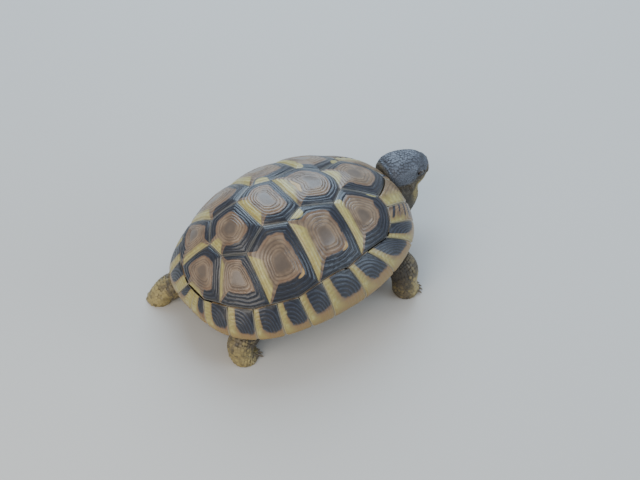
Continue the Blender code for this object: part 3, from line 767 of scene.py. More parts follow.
def bellyMarks(half, focus):
    # two dark bands along the body, broken at the seams, on yellow horn
    def marks(fields, side, ring, count):
        edge, _ = outline(inset(bothSides(half), plateForm["seam"]), plateForm["around"])
        plan = np.array(focus) + ring[..., None] * (edge - focus)
        y = np.abs(plan[..., 1])
        band = np.minimum(y - 0.07, 0.34 - y) * 1.4
        band = np.minimum(band, (0.93 - ring) * 0.8)
        size = len(fields["ring"])
        fields["dark"] = np.concatenate([band.ravel(), np.full(size - band.size, -0.5)])
        fields["groove"] *= 0.6
        fields["groove"][:y.size] += 0.8 * np.exp(-(y / 0.009) ** 2).ravel()
        fields["yellow"] = np.full(size, -1.0)
    return marks


for name, half in bellyPlates.items():
    ringCorners = bothSides(half)
    middle = ((half[0][0] + half[-1][0]) / 2, 0)
    buildPlate("platePlastron" + name.capitalize(), "plastron_" + name, "plastron_horn",
               plastronHorn, ringCorners, ["plain"] * len(ringCorners), middle, seed=80,
               surface=belly, extras=bellyMarks(half, middle), rings=40, crown=0.2 * mm,
               rollDepth=0.3 * mm, rollWidth=0.9 * mm)
print("plastron made")

# the flesh: round sections along curves, in millimetres from the middle of the rim plane
bodyCentre = np.array(shell["centre"])
floorLevel = -29.0
frontRadii = [(8.5, 8.5), (9.2, 8.8), (9.2, 9), (7.6, 8.6), (7.6, 8.8)]
hindRadii = [(9, 8.2), (9.2, 8.4), (8.8, 8.4), (7.4, 7.8), (7.6, 7.8)]
limbs = {
    "leg_front_left": {"path": [(38, 22, 0), (51, 33, -2), (61.5, 41, -8), (66, 43, -18),
                                (67.5, 42.5, -29)], "radii": frontRadii, "heading": 8, "claws": 5},
    "leg_front_right": {"path": [(37, -23, 0), (46.5, -34.5, -2), (52, -42.5, -8.5),
                                 (52.5, -44, -18), (54, -43.5, -29)],
                        "radii": frontRadii, "heading": -20, "claws": 5},
    "leg_hind_left": {"path": [(-36, 19, -6), (-48, 28.5, -10), (-60, 35, -17), (-68, 39, -22.5),
                               (-71.8, 41.1, -29)], "radii": hindRadii, "heading": 34, "claws": 4},
    "leg_hind_right": {"path": [(-34, -18, -6), (-46, -25.5, -8.5), (-57, -29.3, -13.5),
                                (-60.5, -30, -21), (-58.3, -32.1, -29)],
                       "radii": hindRadii, "heading": -6, "claws": 4},
    "neck": {"path": [(50, 0, -0.5), (61, 0.5, -1), (70.5, 1.5, -1.5), (79.5, 3.5, 1.5), (87, 6, 8),
                      (94, 7, 13)],
             "radii": [(8.6, 13.5), (9, 15), (10.6, 16), (12.2, 15.8), (12.2, 14.6), (7.5, 9)]},
    "tail": {"path": [(-50, 0, -8), (-56, 0.5, -10), (-60.5, 2, -12.8), (-62.5, 4.5, -15.5),
                      (-63, 7.5, -18)],
             "radii": [(6, 7), (5.5, 6.2), (4.6, 5), (3.5, 3.6), (2.2, 2.2)]},
}
skinForm = {"inset": 0.45, "headInset": 0.22, "voxel": 0.88 * mm, "smoothing": 4, "limb": 90}


def limbAxis(limb, t):
    # centre, direction, fore and side directions and half sizes at shares t of the path; a leg
    # turns upright before it reaches the floor
    centre = spline(limb["path"], t)
    ahead = unit(spline(limb["path"], np.minimum(t + 0.02, 1))
                 - spline(limb["path"], np.maximum(t - 0.02, 0)))
    reference = upwards
    if "heading" in limb:
        upright = ramp(0.6, 0.9, t)[..., None]
        ahead = unit(ahead * (1 - upright) - upwards * upright)
        turned = math.radians(limb["heading"])
        reference = np.array((math.cos(turned), math.sin(turned), 0))
    fore = unit(reference - ahead * (ahead @ reference)[..., None])
    return centre, ahead, fore, np.cross(ahead, fore), spline(limb["radii"], t)


def limbPoint(limb, t, turn, lift=0.0):
    # the point at share t along a limb and at an angle round it, lifted off its surface
    centre, ahead, fore, aside, size = limbAxis(limb, t)
    size = size + lift
    if "heading" in limb:
        size = size * (1 - 0.10 * ramp(0.94, 1, t))[..., None]
    point = (centre + fore * (size[..., 0] * np.cos(turn))[..., None]
             + aside * (size[..., 1] * np.sin(turn))[..., None])
    if "heading" in limb:
        lowest = floorLevel + 0.15 + 0.35 * (1 - ramp(0.96, 1, t))
        point[..., 2] = np.where(t > 0.97, lowest, np.maximum(point[..., 2], lowest))
    return point


headForm = {"place": (90.4, 7.2, 16.2), "yaw": -10, "pitch": -8, "length": (-14.6, 16.2),
            "shape": [(9.4, 8, -9), (12.6, 10, -14.2), (13.2, 10.6, -15.4), (12.6, 10.2, -15.2),
                      (10.8, 9.2, -14), (8.4, 7.2, -12.2), (5, 3.4, -9.4)],
            "squareness": 0.84, "mouth": -5.45, "eye": (8.0, 8.0, 0.0), "eyeRadius": 2.9}
yaw, pitch = math.radians(headForm["yaw"]), math.radians(headForm["pitch"])
headTurn = np.array([[math.cos(yaw), -math.sin(yaw), 0], [math.sin(yaw), math.cos(yaw), 0],
                     [0, 0, 1]]) @ np.array([[math.cos(pitch), 0, math.sin(pitch)], [0, 1, 0],
                                             [-math.sin(pitch), 0, math.cos(pitch)]])


def headPoint(t, turn, lift=0.0):
    # sections from the nape to the snout, squarer than an ellipse, fuller below than above
    wide, top, bottom = np.moveaxis(spline(headForm["shape"], t), -1, 0)
    low, high = headForm["length"]
    across = np.sign(np.cos(turn)) * np.abs(np.cos(turn)) ** headForm["squareness"]
    height = np.sign(np.sin(turn)) * np.abs(np.sin(turn)) ** headForm["squareness"]
    y = (wide + lift) * across
    z = (top + bottom) / 2 + ((top - bottom) / 2 + lift) * height
    return np.stack([low + (high - low) * t + lift * (2 * t - 1) + 0 * turn, y, z], -1)


def fromHead(points):
    return points @ headTurn.T + np.array(headForm["place"])


def toHead(points):
    return (points - np.array(headForm["place"])) @ headTurn


def trunkGrid(inset):
    # the flesh inside the shell: under the plates, in from the rim, and over the plastron
    rows, around = 46, 90
    angle = 2 * np.pi * np.arange(around) / around
    reach = 0.60 - 0.12 * np.maximum(np.cos(angle), 0) ** 4
    share = np.linspace(0.04, 1, rows)[:, None]
    p, q = reach * share * np.cos(angle), reach * share * np.sin(angle)
    under = shell["thickness"] + 0.66 * mm + inset * mm
    top = dome(p, q, np.full(p.shape, under))
    edge = top[-1]
    walls = []
    for inwards, drop in ((1.05, 0.4), (1.03, 0.9), (0.96, 1), (0.86, 1), (0.74, 1), (0.62, 1),
                          (0.46, 1), (0.3, 1), (0.1, 1)):
        x, y = edge[:, 0] * inwards, edge[:, 1] * inwards
        degrees = np.degrees(np.arctan2(y, x))
        lobe = shell["halfLength"] * (0.40 + 0.18 * bridgeShare(degrees))
        opened = np.maximum(ramp(0.8, 1.25, np.abs(y) / lobe),
                            ramp(0.70, 0.80, np.abs(x) / shell["halfLength"]))
        floor = belly(x / shell["halfLength"], y / shell["halfLength"],
                      np.full(around, shell["thickness"] + (0.6 + inset) * mm))[:, 2]
        low = floor + opened * 9 * mm
        walls.append(np.stack([x, y, 4 * mm + (low - 4 * mm) * drop], -1))
    grid = np.concatenate([top, np.stack(walls)])
    return (toBody(grid) - bodyCentre) / mm


def toePoints(limb):
    # where the claws leave a foot, and the way that each points
    count, radius = limb["claws"], limb["radii"][-1][0]
    way = np.radians(limb["heading"] + 17 * (np.arange(count) - (count - 1) / 2))
    way = np.stack([np.cos(way), np.sin(way), 0 * way], -1)
    return np.array(limb["path"][-1]) + way * (radius - 2) + upwards * 3, way


def ballGrid(centre, radii, along=(1, 0, 0), rows=14, around=18):
    a = np.linspace(0.06, np.pi - 0.06, rows)[:, None]
    b = 2 * np.pi * np.arange(around) / around
    way = unit(np.array(along, float))
    side = unit(np.cross(upwards, way))
    up = np.cross(way, side)
    return (np.array(centre) + way * (np.cos(a) * radii[0] + 0 * b)[..., None]
            + side * (np.sin(a) * np.cos(b) * radii[1])[..., None]
            + up * (np.sin(a) * np.sin(b) * radii[2])[..., None])


def worldPoints(points):
    return points * mm + bodyCentre


# one skin over trunk, neck, head, legs and tail: the forms run together, then are smoothed
def fusedSkin():
    turn = 2 * np.pi * np.arange(64) / 64
    grids = [trunkGrid(skinForm["inset"])]
    for limb in limbs.values():
        t = np.concatenate([np.linspace(0, 0.9, 40), np.linspace(0.915, 1, 10)])[:, None]
        grids.append(limbPoint(limb, t + 0 * turn, turn + 0 * t, -skinForm["inset"]))
        if "claws" in limb:
            for root, way in zip(*toePoints(limb)):
                grids.append(ballGrid(root + way * 0.1, (2.3, 1.9, 2.1), way))
    t = np.linspace(0, 1, 60)[:, None]
    head = headPoint(t + 0 * turn, turn + 0 * t, -skinForm["headInset"])
    grids.append(fromHead(head))
    pieces = [closedGrid(worldPoints(grid)) for grid in grids]
    forms = [makeObject("form", *piece) for piece in pieces]
    whole = bmesh.new()
    for form in forms:
        whole.from_mesh(form.data)
        bpy.data.objects.remove(form)
    mesh = bpy.data.meshes.new("skin")
    whole.to_mesh(mesh)
    whole.free()
    skin = newObject("skin", mesh)
    remesh = skin.modifiers.new("fuse", "REMESH")
    remesh.mode, remesh.voxel_size = "VOXEL", skinForm["voxel"]
    bpy.context.view_layer.update()
    fused = bpy.data.meshes.new_from_object(
        skin.evaluated_get(bpy.context.evaluated_depsgraph_get()))
    skin.modifiers.clear()
    skin.data = fused
    return skin


def relaxed(points, pairs, rounds, hold):
    # move each point part of the way to the mean of its neighbours, then part of the way back,
    # so that the surface smooths without shrinking; hold is how far each point stays put
    count = np.bincount(pairs.ravel(), minlength=len(points))[:, None]
    for step in range(rounds * 2):
        total = np.stack([np.bincount(pairs[:, 0], points[pairs[:, 1], k], len(points))
                          + np.bincount(pairs[:, 1], points[pairs[:, 0], k], len(points))
                          for k in range(3)], -1)
        share = 0.6 if step % 2 == 0 else -0.52
        points = points + (total / count - points) * share * (1 - hold[:, None])
    return points


def limbCoordinates(points, limb):
    # for each point: how far outside the limb's surface it is, its share along, its angle round;
    # past the nearest sample the share grows as on a limb of the usual length
    t = np.linspace(0, 1, 49)
    centre, ahead, fore, aside, size = limbAxis(limb, t)
    best = np.full(len(points), 1e9)
    found = np.zeros(len(points), int)
    for k in range(len(t)):
        away = ((points - centre[k]) ** 2).sum(1)
        closer = away < best
        best[closer], found[closer] = away[closer], k
    offset = points - centre[found]
    x, y = (offset * fore[found]).sum(1), (offset * aside[found]).sum(1)
    along = t[found] + (offset * ahead[found]).sum(1) / skinForm["limb"]
    return np.sqrt(best) - size[found].mean(1), np.clip(along, 0, 1), np.arctan2(y, x)


def refine(mesh, chosen, cuts):
    # cut up the faces whose points all lie in the chosen part
    work = bmesh.new()
    work.from_mesh(mesh)
    work.verts.ensure_lookup_table()
    inside = {e for f in work.faces if all(chosen[v.index] for v in f.verts) for e in f.edges}
    bmesh.ops.subdivide_edges(work, edges=sorted(inside, key=lambda edge: edge.index), cuts=cuts,
                              use_grid_fill=True, smooth=0.0)
    work.to_mesh(mesh)
    work.free()


lidForm = {"height": 1.92, "length": 2.55, "thickness": 0.42, "tilt": 0.12}


def eyeSpace(local):
    # from the eye's middle: forward and up, turned with the lids, and the distance in almond
    # measure, 1 at the lids' edges
    x0, _, z0 = headForm["eye"]
    x, z = local[:, 0] - x0, local[:, 2] - z0
    c, s = math.cos(lidForm["tilt"]), math.sin(lidForm["tilt"])
    a, b = x * c + z * s, -x * s + z * c
    almond = (np.abs(a / lidForm["length"]) ** 1.7 + np.abs(b / lidForm["height"]) ** 2) ** 0.55
    return a, b, np.hypot(a, b), almond


# how far the forms of the face stand proud or sink, and where the drum and nostrils lie
faceForm = {"brow": 0.55, "orbit": 0.75, "crease": 0.20, "drum": 0.85, "drumRim": 0.22,
            "mouth": 0.8, "lip": 0.18, "cheek": 0.30, "temple": 0.55, "nostril": 1.5,
            "crownDip": 0.30, "napeFold": 0.45, "drumAt": (-5.0, -4.2), "nostrilAt": (1.6, 1.95)}


def headRelief(local):
    # the head's own forms, each a bell curve round its place: lids and orbit round each eye,
    # brow, cheek, ear drum, mouth line, nostrils and a soft furrow behind the crown
    x, y, z = local.T
    sign = np.sign(y)
    moved = local.copy()
    wide = np.abs(y)
    a, b, radius, almond = eyeSpace(local)
    onSide = ramp(3.0, 5.0, wide)
    eyeY, ball = headForm["eye"][1], headForm["eyeRadius"]
    # brow: the skin above the eye stands proud, the orbit sinks round the lids
    brow = faceForm["brow"] * np.exp(-((b - 3.1) / 1.0) ** 2 - (a / 3.6) ** 2)
    orbit = -faceForm["orbit"] * np.exp(-((radius - 3.9) / 0.75) ** 2)
    orbit = orbit * (1 - 0.6 * ramp(1.5, 3.2, b))
    lidSphere = eyeY + np.sqrt(np.maximum((ball + lidForm["thickness"]) ** 2 - radius ** 2, 0))
    surface = wide + (brow + orbit) * onSide
    closeness = (1 - ramp(2.7, 3.8, radius)) * onSide
    surface = surface * (1 - closeness) + np.maximum(lidSphere, surface - 0.6) * closeness
    crease = faceForm["crease"] * np.exp(-((almond - 1.42) / 0.07) ** 2) * closeness
    surface = surface - crease
    inside = eyeY + np.sqrt(np.maximum(ball ** 2 - radius ** 2, 0)) - 0.9
    opening = (1 - ramp(0.93, 1.04, almond)) * onSide
    surface = surface * (1 - opening) + np.minimum(inside, surface) * opening
    moved[:, 1] = sign * surface
    # ear drum: a shallow round dish behind the jaw's corner with a soft rim
    drumX, drumZ = faceForm["drumAt"]
    ear = np.hypot((x - drumX) / 3.4, (z - drumZ) / 3.0)
    dish = (faceForm["drumRim"] * np.exp(-((ear - 1.12) / 0.12) ** 2)
            - faceForm["drum"] * (1 - ramp(0.72, 1.0, ear)))
    # the mouth line runs from under the beak back past the eye and turns down at its end
    line = headForm["mouth"]
    line = line + 0.030 * np.maximum(x - 4, 0) ** 1.2 - 0.10 * np.maximum(2 - x, 0)
    mouth = -faceForm["mouth"] * np.exp(-((z - line) / 0.28) ** 2) * ramp(-1.6, 0.6, x)
    lip = faceForm["lip"] * np.exp(-((z - line - 0.8) / 0.5) ** 2) * ramp(-0.5, 3, x)
    cheek = faceForm["cheek"] * np.exp(-((x - 0.5) / 3.5) ** 2 - ((z + 2.2) / 1.8) ** 2)
    temple = -faceForm["temple"] * np.exp(-(x / 3.6) ** 2 - ((z - 2.6) / 1.6) ** 2)
    side = ramp(0.35, 0.8, wide / 12)
    moved[:, 1] += sign * (dish * side + mouth * ramp(1.5, 3, wide) + lip * side
                           + (cheek + temple) * side)
    front = ramp(12, 15, x)
    moved[:, 0] += mouth * front * (1 - ramp(3.5, 6, wide))
    holeY, holeZ = faceForm["nostrilAt"]
    hole = np.exp(-((wide - holeY) / 0.55) ** 2 - ((z - holeZ) / 0.42) ** 2)
    moved[:, 0] -= faceForm["nostril"] * hole * front
    # the crown: a shallow dip between the brows and a fold behind the skull
    crown = ramp(4, 7.5, z)
    dip = faceForm["crownDip"] * np.exp(-(y / 2.2) ** 2 - ((x - 6) / 5) ** 2)
    moved[:, 2] -= crown * (dip + faceForm["napeFold"] * np.exp(-((x + 10.5) / 1.1) ** 2))
    return moved


def neckFolds(points, t):
    # loose rings of skin across the neck, wandering a little, and finer wrinkles between them
    wander = noise(points, 9.0, 5) * 0.10 + noise(points, 3.0, 6) * 0.025
    broad = np.abs(np.sin(np.pi * (t + wander) * 9)) ** 0.6
    fine = np.abs(np.sin(np.pi * (t + wander * 1.3) * 31)) ** 0.7
    return -0.85 * (1 - broad) - 0.22 * (1 - fine)


def skinPoints():
    # the skin's points in millimetres from the middle of the rim plane, and as the head has them
    points = (readMesh(skin.data.vertices, "co", 3).astype(float) - bodyCentre) / mm
    return points, toHead(points)


skin = fusedSkin()
points, local = skinPoints()
nearHead = ((local[:, 0] > -12.5) & (np.abs(local[:, 1]) < 15)
            & (local[:, 2] > -17) & (local[:, 2] < 12))
refine(skin.data, nearHead, 1)
points, local = skinPoints()
eyeX = headForm["eye"][0]
nearEye = (np.hypot(local[:, 0] - eyeX, local[:, 2]) < 4.4) & (np.abs(local[:, 1]) > 5.5)
refine(skin.data, nearEye, 2)
points, local = skinPoints()
sole = points[:, 2] < floorLevel + 0.4
pairs = readMesh(skin.data.edges, "vertices", 2, np.int32)
points = relaxed(points, pairs, skinForm["smoothing"], np.where(sole, 1.0, 0.0))
regions = {name: limbCoordinates(points, limb) for name, limb in limbs.items()}
skin.data.vertices.foreach_set("co", points.astype(np.float32).ravel())
skin.data.update()
normals = readMesh(skin.data.vertex_normals, "vector", 3).astype(float)
neckOut, neckT, _ = regions["neck"]
local = toHead(points)
onHead = ramp(-13.0, -9.5, local[:, 0]) * (neckT > 0.5)
onNeck = (1 - ramp(0.5, 2.5, neckOut)) * (1 - onHead) * ramp(0.15, 0.3, neckT)
points = points + normals * (neckFolds(points, neckT) * onNeck)[:, None]
for name, limb in limbs.items():
    if "claws" not in limb:
        continue
    out, t, turn = regions[name]
    bent = -0.7 * (1 - np.abs(np.sin(np.pi * (t * 5 + 0.25 * noise(points, 6.0, 8)))) ** 0.5)
    onLimb = ((1 - ramp(0.5, 2.5, out)) * (1 - ramp(0.72, 0.85, t))
              * (1 - ramp(0.3, 0.9, np.cos(turn))))
    points = points + normals * (bent * onLimb * 0.8)[:, None]
points = np.where((onHead > 0.5)[:, None], fromHead(headRelief(toHead(points))), points)
points[:, 2] = np.maximum(points[:, 2], floorLevel + 0.12)
skin.data.vertices.foreach_set("co", worldPoints(points).astype(np.float32).ravel())
skin.data.update()
skin.data.shade_smooth()
print("skin fused:", len(skin.data.polygons), "faces")


# the markings of the soft parts, the same on skin and scales: shares of yellow, slate and dark; the
# slate on the head is partly painted sky reflection, and some of its dark is painted shade
def softMarks(points):
    # legs: yellow down the front and the foot, dark behind; neck and tail: olive, paler below
    pale, dark = np.zeros(len(points)), np.zeros(len(points))
    spots = noise(points, 5.0, 21) * 0.6 + noise(points, 2.0, 22) * 0.4
    for name, limb in limbs.items():
        out, t, turn = limbCoordinates(points, limb)
        near = 1 - ramp(0.8, 3.0, out)
        if "claws" in limb:
            front = ramp(-0.2, 0.7, np.cos(turn))
            if "hind" in name:
                front = 1 - 0.7 * front
            tone = near * (ramp(0.35, 0.85, t) * (0.18 + 0.40 * front) + 0.10)
            dark = np.maximum(dark, near * 0.55 * ramp(0.55, 0.3, front) * ramp(0.9, 0.6, t))
        else:
            tone = near * (0.30 if name == "tail" else 0.16 + 0.30 * ramp(0.2, -0.8, np.cos(turn)))
        pale = np.maximum(pale, tone)
    pale = pale * (0.55 + 0.9 * spots)
    # head: slate above, partly a painted sky reflection, a yellow jaw, dark round the eye and on
    # the snout, and painted shade on the ear, the side of the head and the cheeks by the jaw's
    # corner
    x, y, z = toHead(points).T
    onHead = ramp(-15, -10, x) * (points[:, 0] > 70) * ramp(-18, -14, z)
    # the upper head is marked for slate: partly its own grey, partly a painted sky reflection that
    # makes the top lighter and bluer than the sides
    crown = onHead * ramp(-4.8, 0.6, z + 0.12 * (x - 5))
    throat = onHead * ramp(-4.6, -7.0, z) * (0.15 + 0.85 * ramp(-6.5, 1.5, x))
    pale = pale * (1 - onHead) + throat * (0.55 + 0.4 * spots)
    # painted shade: the ear drum's region is darkened as if shadowed
    ear = onHead * np.exp(-(((x + 5) / 5) ** 2 + ((z + 4) / 3.5) ** 2))
    snout = onHead * 0.55 * ramp(8, 13, x) * ramp(2, 5, z)
    dark = dark * (1 - onHead) + np.maximum(ear * 0.45, snout)
    eyeRing = 0.5 * np.exp(-((np.hypot(x - eyeX, z) - 3.4) / 0.9) ** 2)
    # painted shade: the side of the head and the cheek under the ear by the jaw's corner are
    # darkened
    temple = 0.34 * ramp(5, 9, np.abs(y)) * ramp(-6, -3, z) * ramp(4.5, 2, z)
    jawCornerShade = 0.42 * ramp(3, 9, np.abs(y)) * ramp(-3, -6, z) * ramp(2, -5, x)
    dark = np.maximum(dark, onHead * np.maximum(np.maximum(eyeRing, temple), jawCornerShade))
    return {"pale": np.clip(pale, 0, 1), "slateSkySheen": np.clip(crown, 0, 1), "dark": np.clip(dark, 0, 1)}


# the slate tones are the head's own grey, made lighter and bluer as painted sky reflection
softTones = {
    "olive": (0.135, 0.105, 0.060), "oliveDeep": (0.070, 0.055, 0.034),
    "yellow": (0.38, 0.295, 0.115), "slateSkySheen": (0.158, 0.176, 0.216),
    "slateSkySheenDeep": (0.082, 0.090, 0.110), "dark": (0.022, 0.019, 0.017),
}


def skinLook(name, scaled):
    # olive, then slate, yellow and dark laid over it by their fields, the slate partly a painted
    # sky reflection and some of the dark painted shade; scales darken towards their feet, and bare
    # skin has fine cracks between its pebbles
    tone = softTones
    look = Look(name, {"Specular IOR Level": 0.5})
    broad, fine = look.grain(160, 4), look.grain(1100, 4, 0.65)
    colour = look.blend(broad.step(0.35, 0.65), tone["oliveDeep"], tone["olive"])
    # the top of the head turns slate: partly its own grey, partly painted sky reflection
    slateSkySheen = look.blend(broad.step(0.3, 0.7), tone["slateSkySheenDeep"], tone["slateSkySheen"])
    colour = look.blend((look.field("slateSkySheen") + (broad - 0.5) * 0.3).step(0.25, 0.75), colour, slateSkySheen)
    pale = look.field("pale") + (broad - 0.5) * 0.25
    if scaled:
        pale = pale + (look.field("luck") - 0.5) * 0.35
    colour = look.blend(pale.step(0.15, 0.85), colour, tone["yellow"])
    dark = look.field("dark") + (broad - 0.5) * 0.3
    colour = look.blend(dark.step(0.1, 0.9), colour, tone["dark"])
    if scaled:
        base = look.field("base")
        foot = (base + (fine - 0.5) * 0.3).step(0.55, 1.05) * 0.8
        colour = look.blend(foot, colour, tone["dark"])
        look.feed("Roughness", fine * 0.2 + base * 0.15 + 0.30)
        look.bump(fine + broad * 0.5, 0.25, 0.12 * mm)
    else:
        pebble = look.cells(1150)
        crack = pebble.step(0.02, 0.16)
        colour = look.blend((1 - crack) * 0.6, colour, tone["dark"])
        look.feed("Roughness", fine * 0.25 + 0.42)
        look.bump(crack + fine * 0.3, 0.6, 0.22 * mm)
    look.feed("Base Color", colour)
    return look.material


skinBare = skinLook("skinBetweenScales", False)
skinScaled = skinLook("scaleSkin", True)
skin.data.materials.clear()
skin.data.materials.append(skinBare)
marks = softMarks(points)
for field, values in marks.items():
    addField(skin.data, field, values)
place(skin, "leg_skin", "trunk", "neck", "head", "tail", *[n for n in limbs if n.startswith("leg")])
skinTree = BVHTree.FromObject(skin, bpy.context.evaluated_depsgraph_get())
print("skin dressed")


# the scales: low domes in staggered rows, laid on the skin and leaning the way the limb runs
def scaleRows(length, girth, spacing, seed, jitter=0.16):
    # shares along and angles round a tube, in rows set half a step against each other; spacing
    # and girth are functions of the share along
    rng = np.random.default_rng(seed)
    along, around, size = [], [], []
    t, odd = 0.0, 0
    while t < 1:
        step = spacing(t)
        count = max(6, int(round(girth(t) / step)))
        turn = 2 * np.pi * (np.arange(count) + 0.5 * odd) / count
        along.append(np.full(count, t) + rng.normal(0, jitter * step / length / 2, count))
        around.append(turn + rng.normal(0, jitter * step * np.pi / girth(t), count))
        size.append(np.full(count, step))
        t += step * 0.82 / length
        odd = 1 - odd
    return np.concatenate(along), np.concatenate(around), np.concatenate(size)


def laidOnSkin(targets):
    # the nearest place of the skin to each target and the way that it faces there
    spots = [skinTree.find_nearest(Vector(target)) for target in worldPoints(targets)]
    return np.array([spot[0] for spot in spots]), np.array([spot[1] for spot in spots])


scaleForm = {"sides": 8, "rings": [(1.0, -0.25), (0.93, 0.35), (0.70, 0.86), (0.34, 1.0)]}


def buildScales(name, slot, sites, facing, lie, width, length, height, lean, roots, seed):
    # each scale is a few rings that rise steeply and flatten, raised at its free end by the
    # lean; roots are the places of the scales on an unwrapped skin, where their patch is kept
    rng = np.random.default_rng(seed)
    sides, rings = scaleForm["sides"], scaleForm["rings"]
    count = len(sites)
    facing = unit(facing)
    lie = unit(lie - facing * (lie * facing).sum(1, keepdims=True))
    aside = np.cross(facing, lie)
    angle = 2 * np.pi * np.arange(sides) / sides
    corner = 1 + 0.10 * rng.normal(size=(count, sides)).clip(-1.6, 1.6)
    verts, local, base = [], [], []
    for share, rise in rings:
        a = share * np.cos(angle) * corner
        b = share * np.sin(angle) * corner
        h = height[:, None] * (rise + lean[:, None] * a * max(rise, 0.3))
        verts.append(sites[:, None] + lie[:, None] * (a * length[:, None])[..., None]
                     + aside[:, None] * (b * width[:, None])[..., None]
                     + facing[:, None] * h[..., None])
        local.append(np.stack([a, b], -1))
        base.append(np.full((count, sides), share))
    tip = sites + facing * (height * 1.03)[:, None]
    foot = sites - facing * (height * 0.3)[:, None]
    verts = np.concatenate([np.concatenate(verts, 1), tip[:, None], foot[:, None]], 1)
    verts[..., 2] = np.maximum(verts[..., 2], 0.12 * mm)
    local = np.concatenate([np.concatenate(local, 1), np.zeros((count, 2, 2))], 1)
    base = np.concatenate([np.concatenate(base, 1), np.zeros((count, 1)), np.ones((count, 1))], 1)
    each = verts.shape[1]
    quads = gridFaces(len(rings), sides)
    footFans, tipFans = poleFans(len(rings), sides, each - 1, each - 2)
    fans = np.concatenate([tipFans, footFans])
    offset = np.arange(count)[:, None, None] * each
    quads, fans = (offset + quads).reshape(-1, 4), (offset + fans).reshape(-1, 3)
    fields = {key: np.repeat(values, each) for key, values in
              softMarks((sites - bodyCentre) / mm).items()}
    fields["base"] = base.ravel()
    fields["luck"] = np.repeat(rng.random(count), each)
    piece = makeObject(name, verts.reshape(-1, 3), quads, fans, skinScaled, fields)
    patch = (roots[:, None] + local * 0.0015).reshape(-1, 2)
    layer = piece.data.uv_layers.new(name="OFBake")
    corners = readMesh(piece.data.loops, "vertex_index", 1, np.int32).ravel()
    layer.data.foreach_set("uv", patch[corners].astype(np.float32).ravel())
    place(piece, slot)
    print(name, count, "scales")


# the coat of each limb: its slot, the spacing of its scales and how much it grows down the limb,
# the share where they are full size, their height and lean, their patch of the unwrapped skin
coats = {
    "leg_front_left": ("leg_skin", 1.35, 0.85, 0.6, 0.50, 0.45, (0.02, 0.02, 0.4, 0.2)),
    "leg_front_right": ("leg_skin", 1.35, 0.85, 0.6, 0.50, 0.45, (0.02, 0.25, 0.4, 0.2)),
    "leg_hind_left": ("leg_skin", 1.35, 0.70, 0.7, 0.50, 0.40, (0.02, 0.48, 0.4, 0.2)),
    "leg_hind_right": ("leg_skin", 1.35, 0.70, 0.7, 0.50, 0.40, (0.02, 0.71, 0.4, 0.2)),
    "tail": ("trunk_skin", 1.15, 0.0, 1.0, 0.26, 0.25, (0.46, 0.02, 0.1, 0.12)),
    "neck": ("neck_skin", 1.15, 0.0, 1.0, 0.24, 0.10, (0.46, 0.2, 0.25, 0.3)),
}


def limbScales(key, slot, spacing, growth, full, height, lean, patch, seed):
    # rows of scales round a limb, left out where the skin has run into another form, and on the
    # neck also deep in the shell and on the head
    limb = limbs[key]
    grown = lambda share: spacing + growth * float(ramp(0.3, full, share))
    t = np.linspace(0, 1, 40)
    path = spline(limb["path"], t)
    length = np.linalg.norm(np.diff(path, axis=0), axis=1).sum()
    size = spline(limb["radii"], t).mean(1)
    girth = lambda share: 2 * np.pi * np.interp(share, t, size)
    along, around, step = scaleRows(length, girth, grown, seed)
    inside = (along > (0.12 if key == "neck" else 0)) & (along < 0.985)
    along, around, step = along[inside], around[inside], step[inside]
    targets = limbPoint(limb, along, around)
    ahead = limbAxis(limb, along)[1]
    sites, facing = laidOnSkin(targets)
    near = np.linalg.norm(sites - worldPoints(targets), axis=1) < 2.2 * mm
    if key == "neck":
        local = toHead(targets)
        near &= (local[:, 0] < -9) | (local[:, 2] < -15.5)
    bigger = np.ones(len(along))
    if "claws" in limb:
        # larger scales down the front of a foreleg, at the heel of a hind leg, along the sole
        face = np.cos(around) * (1 if "front" in key else -1)
        bigger = 1 + 0.45 * ramp(0.1, 0.8, face) * ramp(0.3, 0.6, along)
    width = step * 0.60 * bigger * mm
    raised = height * bigger * mm * (step / grown(0.5))
    roots = np.array(patch[:2]) + np.stack([along, (around / (2 * np.pi)) % 1], -1) * patch[2:]
    sites, facing = sites[near], facing[near]
    clear = sites[:, 2] > 0.5 * mm
    pick = np.flatnonzero(near)[clear]
    buildScales("scales" + titled(key.split("_")), slot, sites[clear], facing[clear], ahead[pick],
                width[pick], width[pick] * 1.08, raised[pick], np.full(len(pick), lean),
                roots[pick], seed)


for seed, (key, coat) in enumerate(coats.items(), 1):
    limbScales(key, *coat, seed)


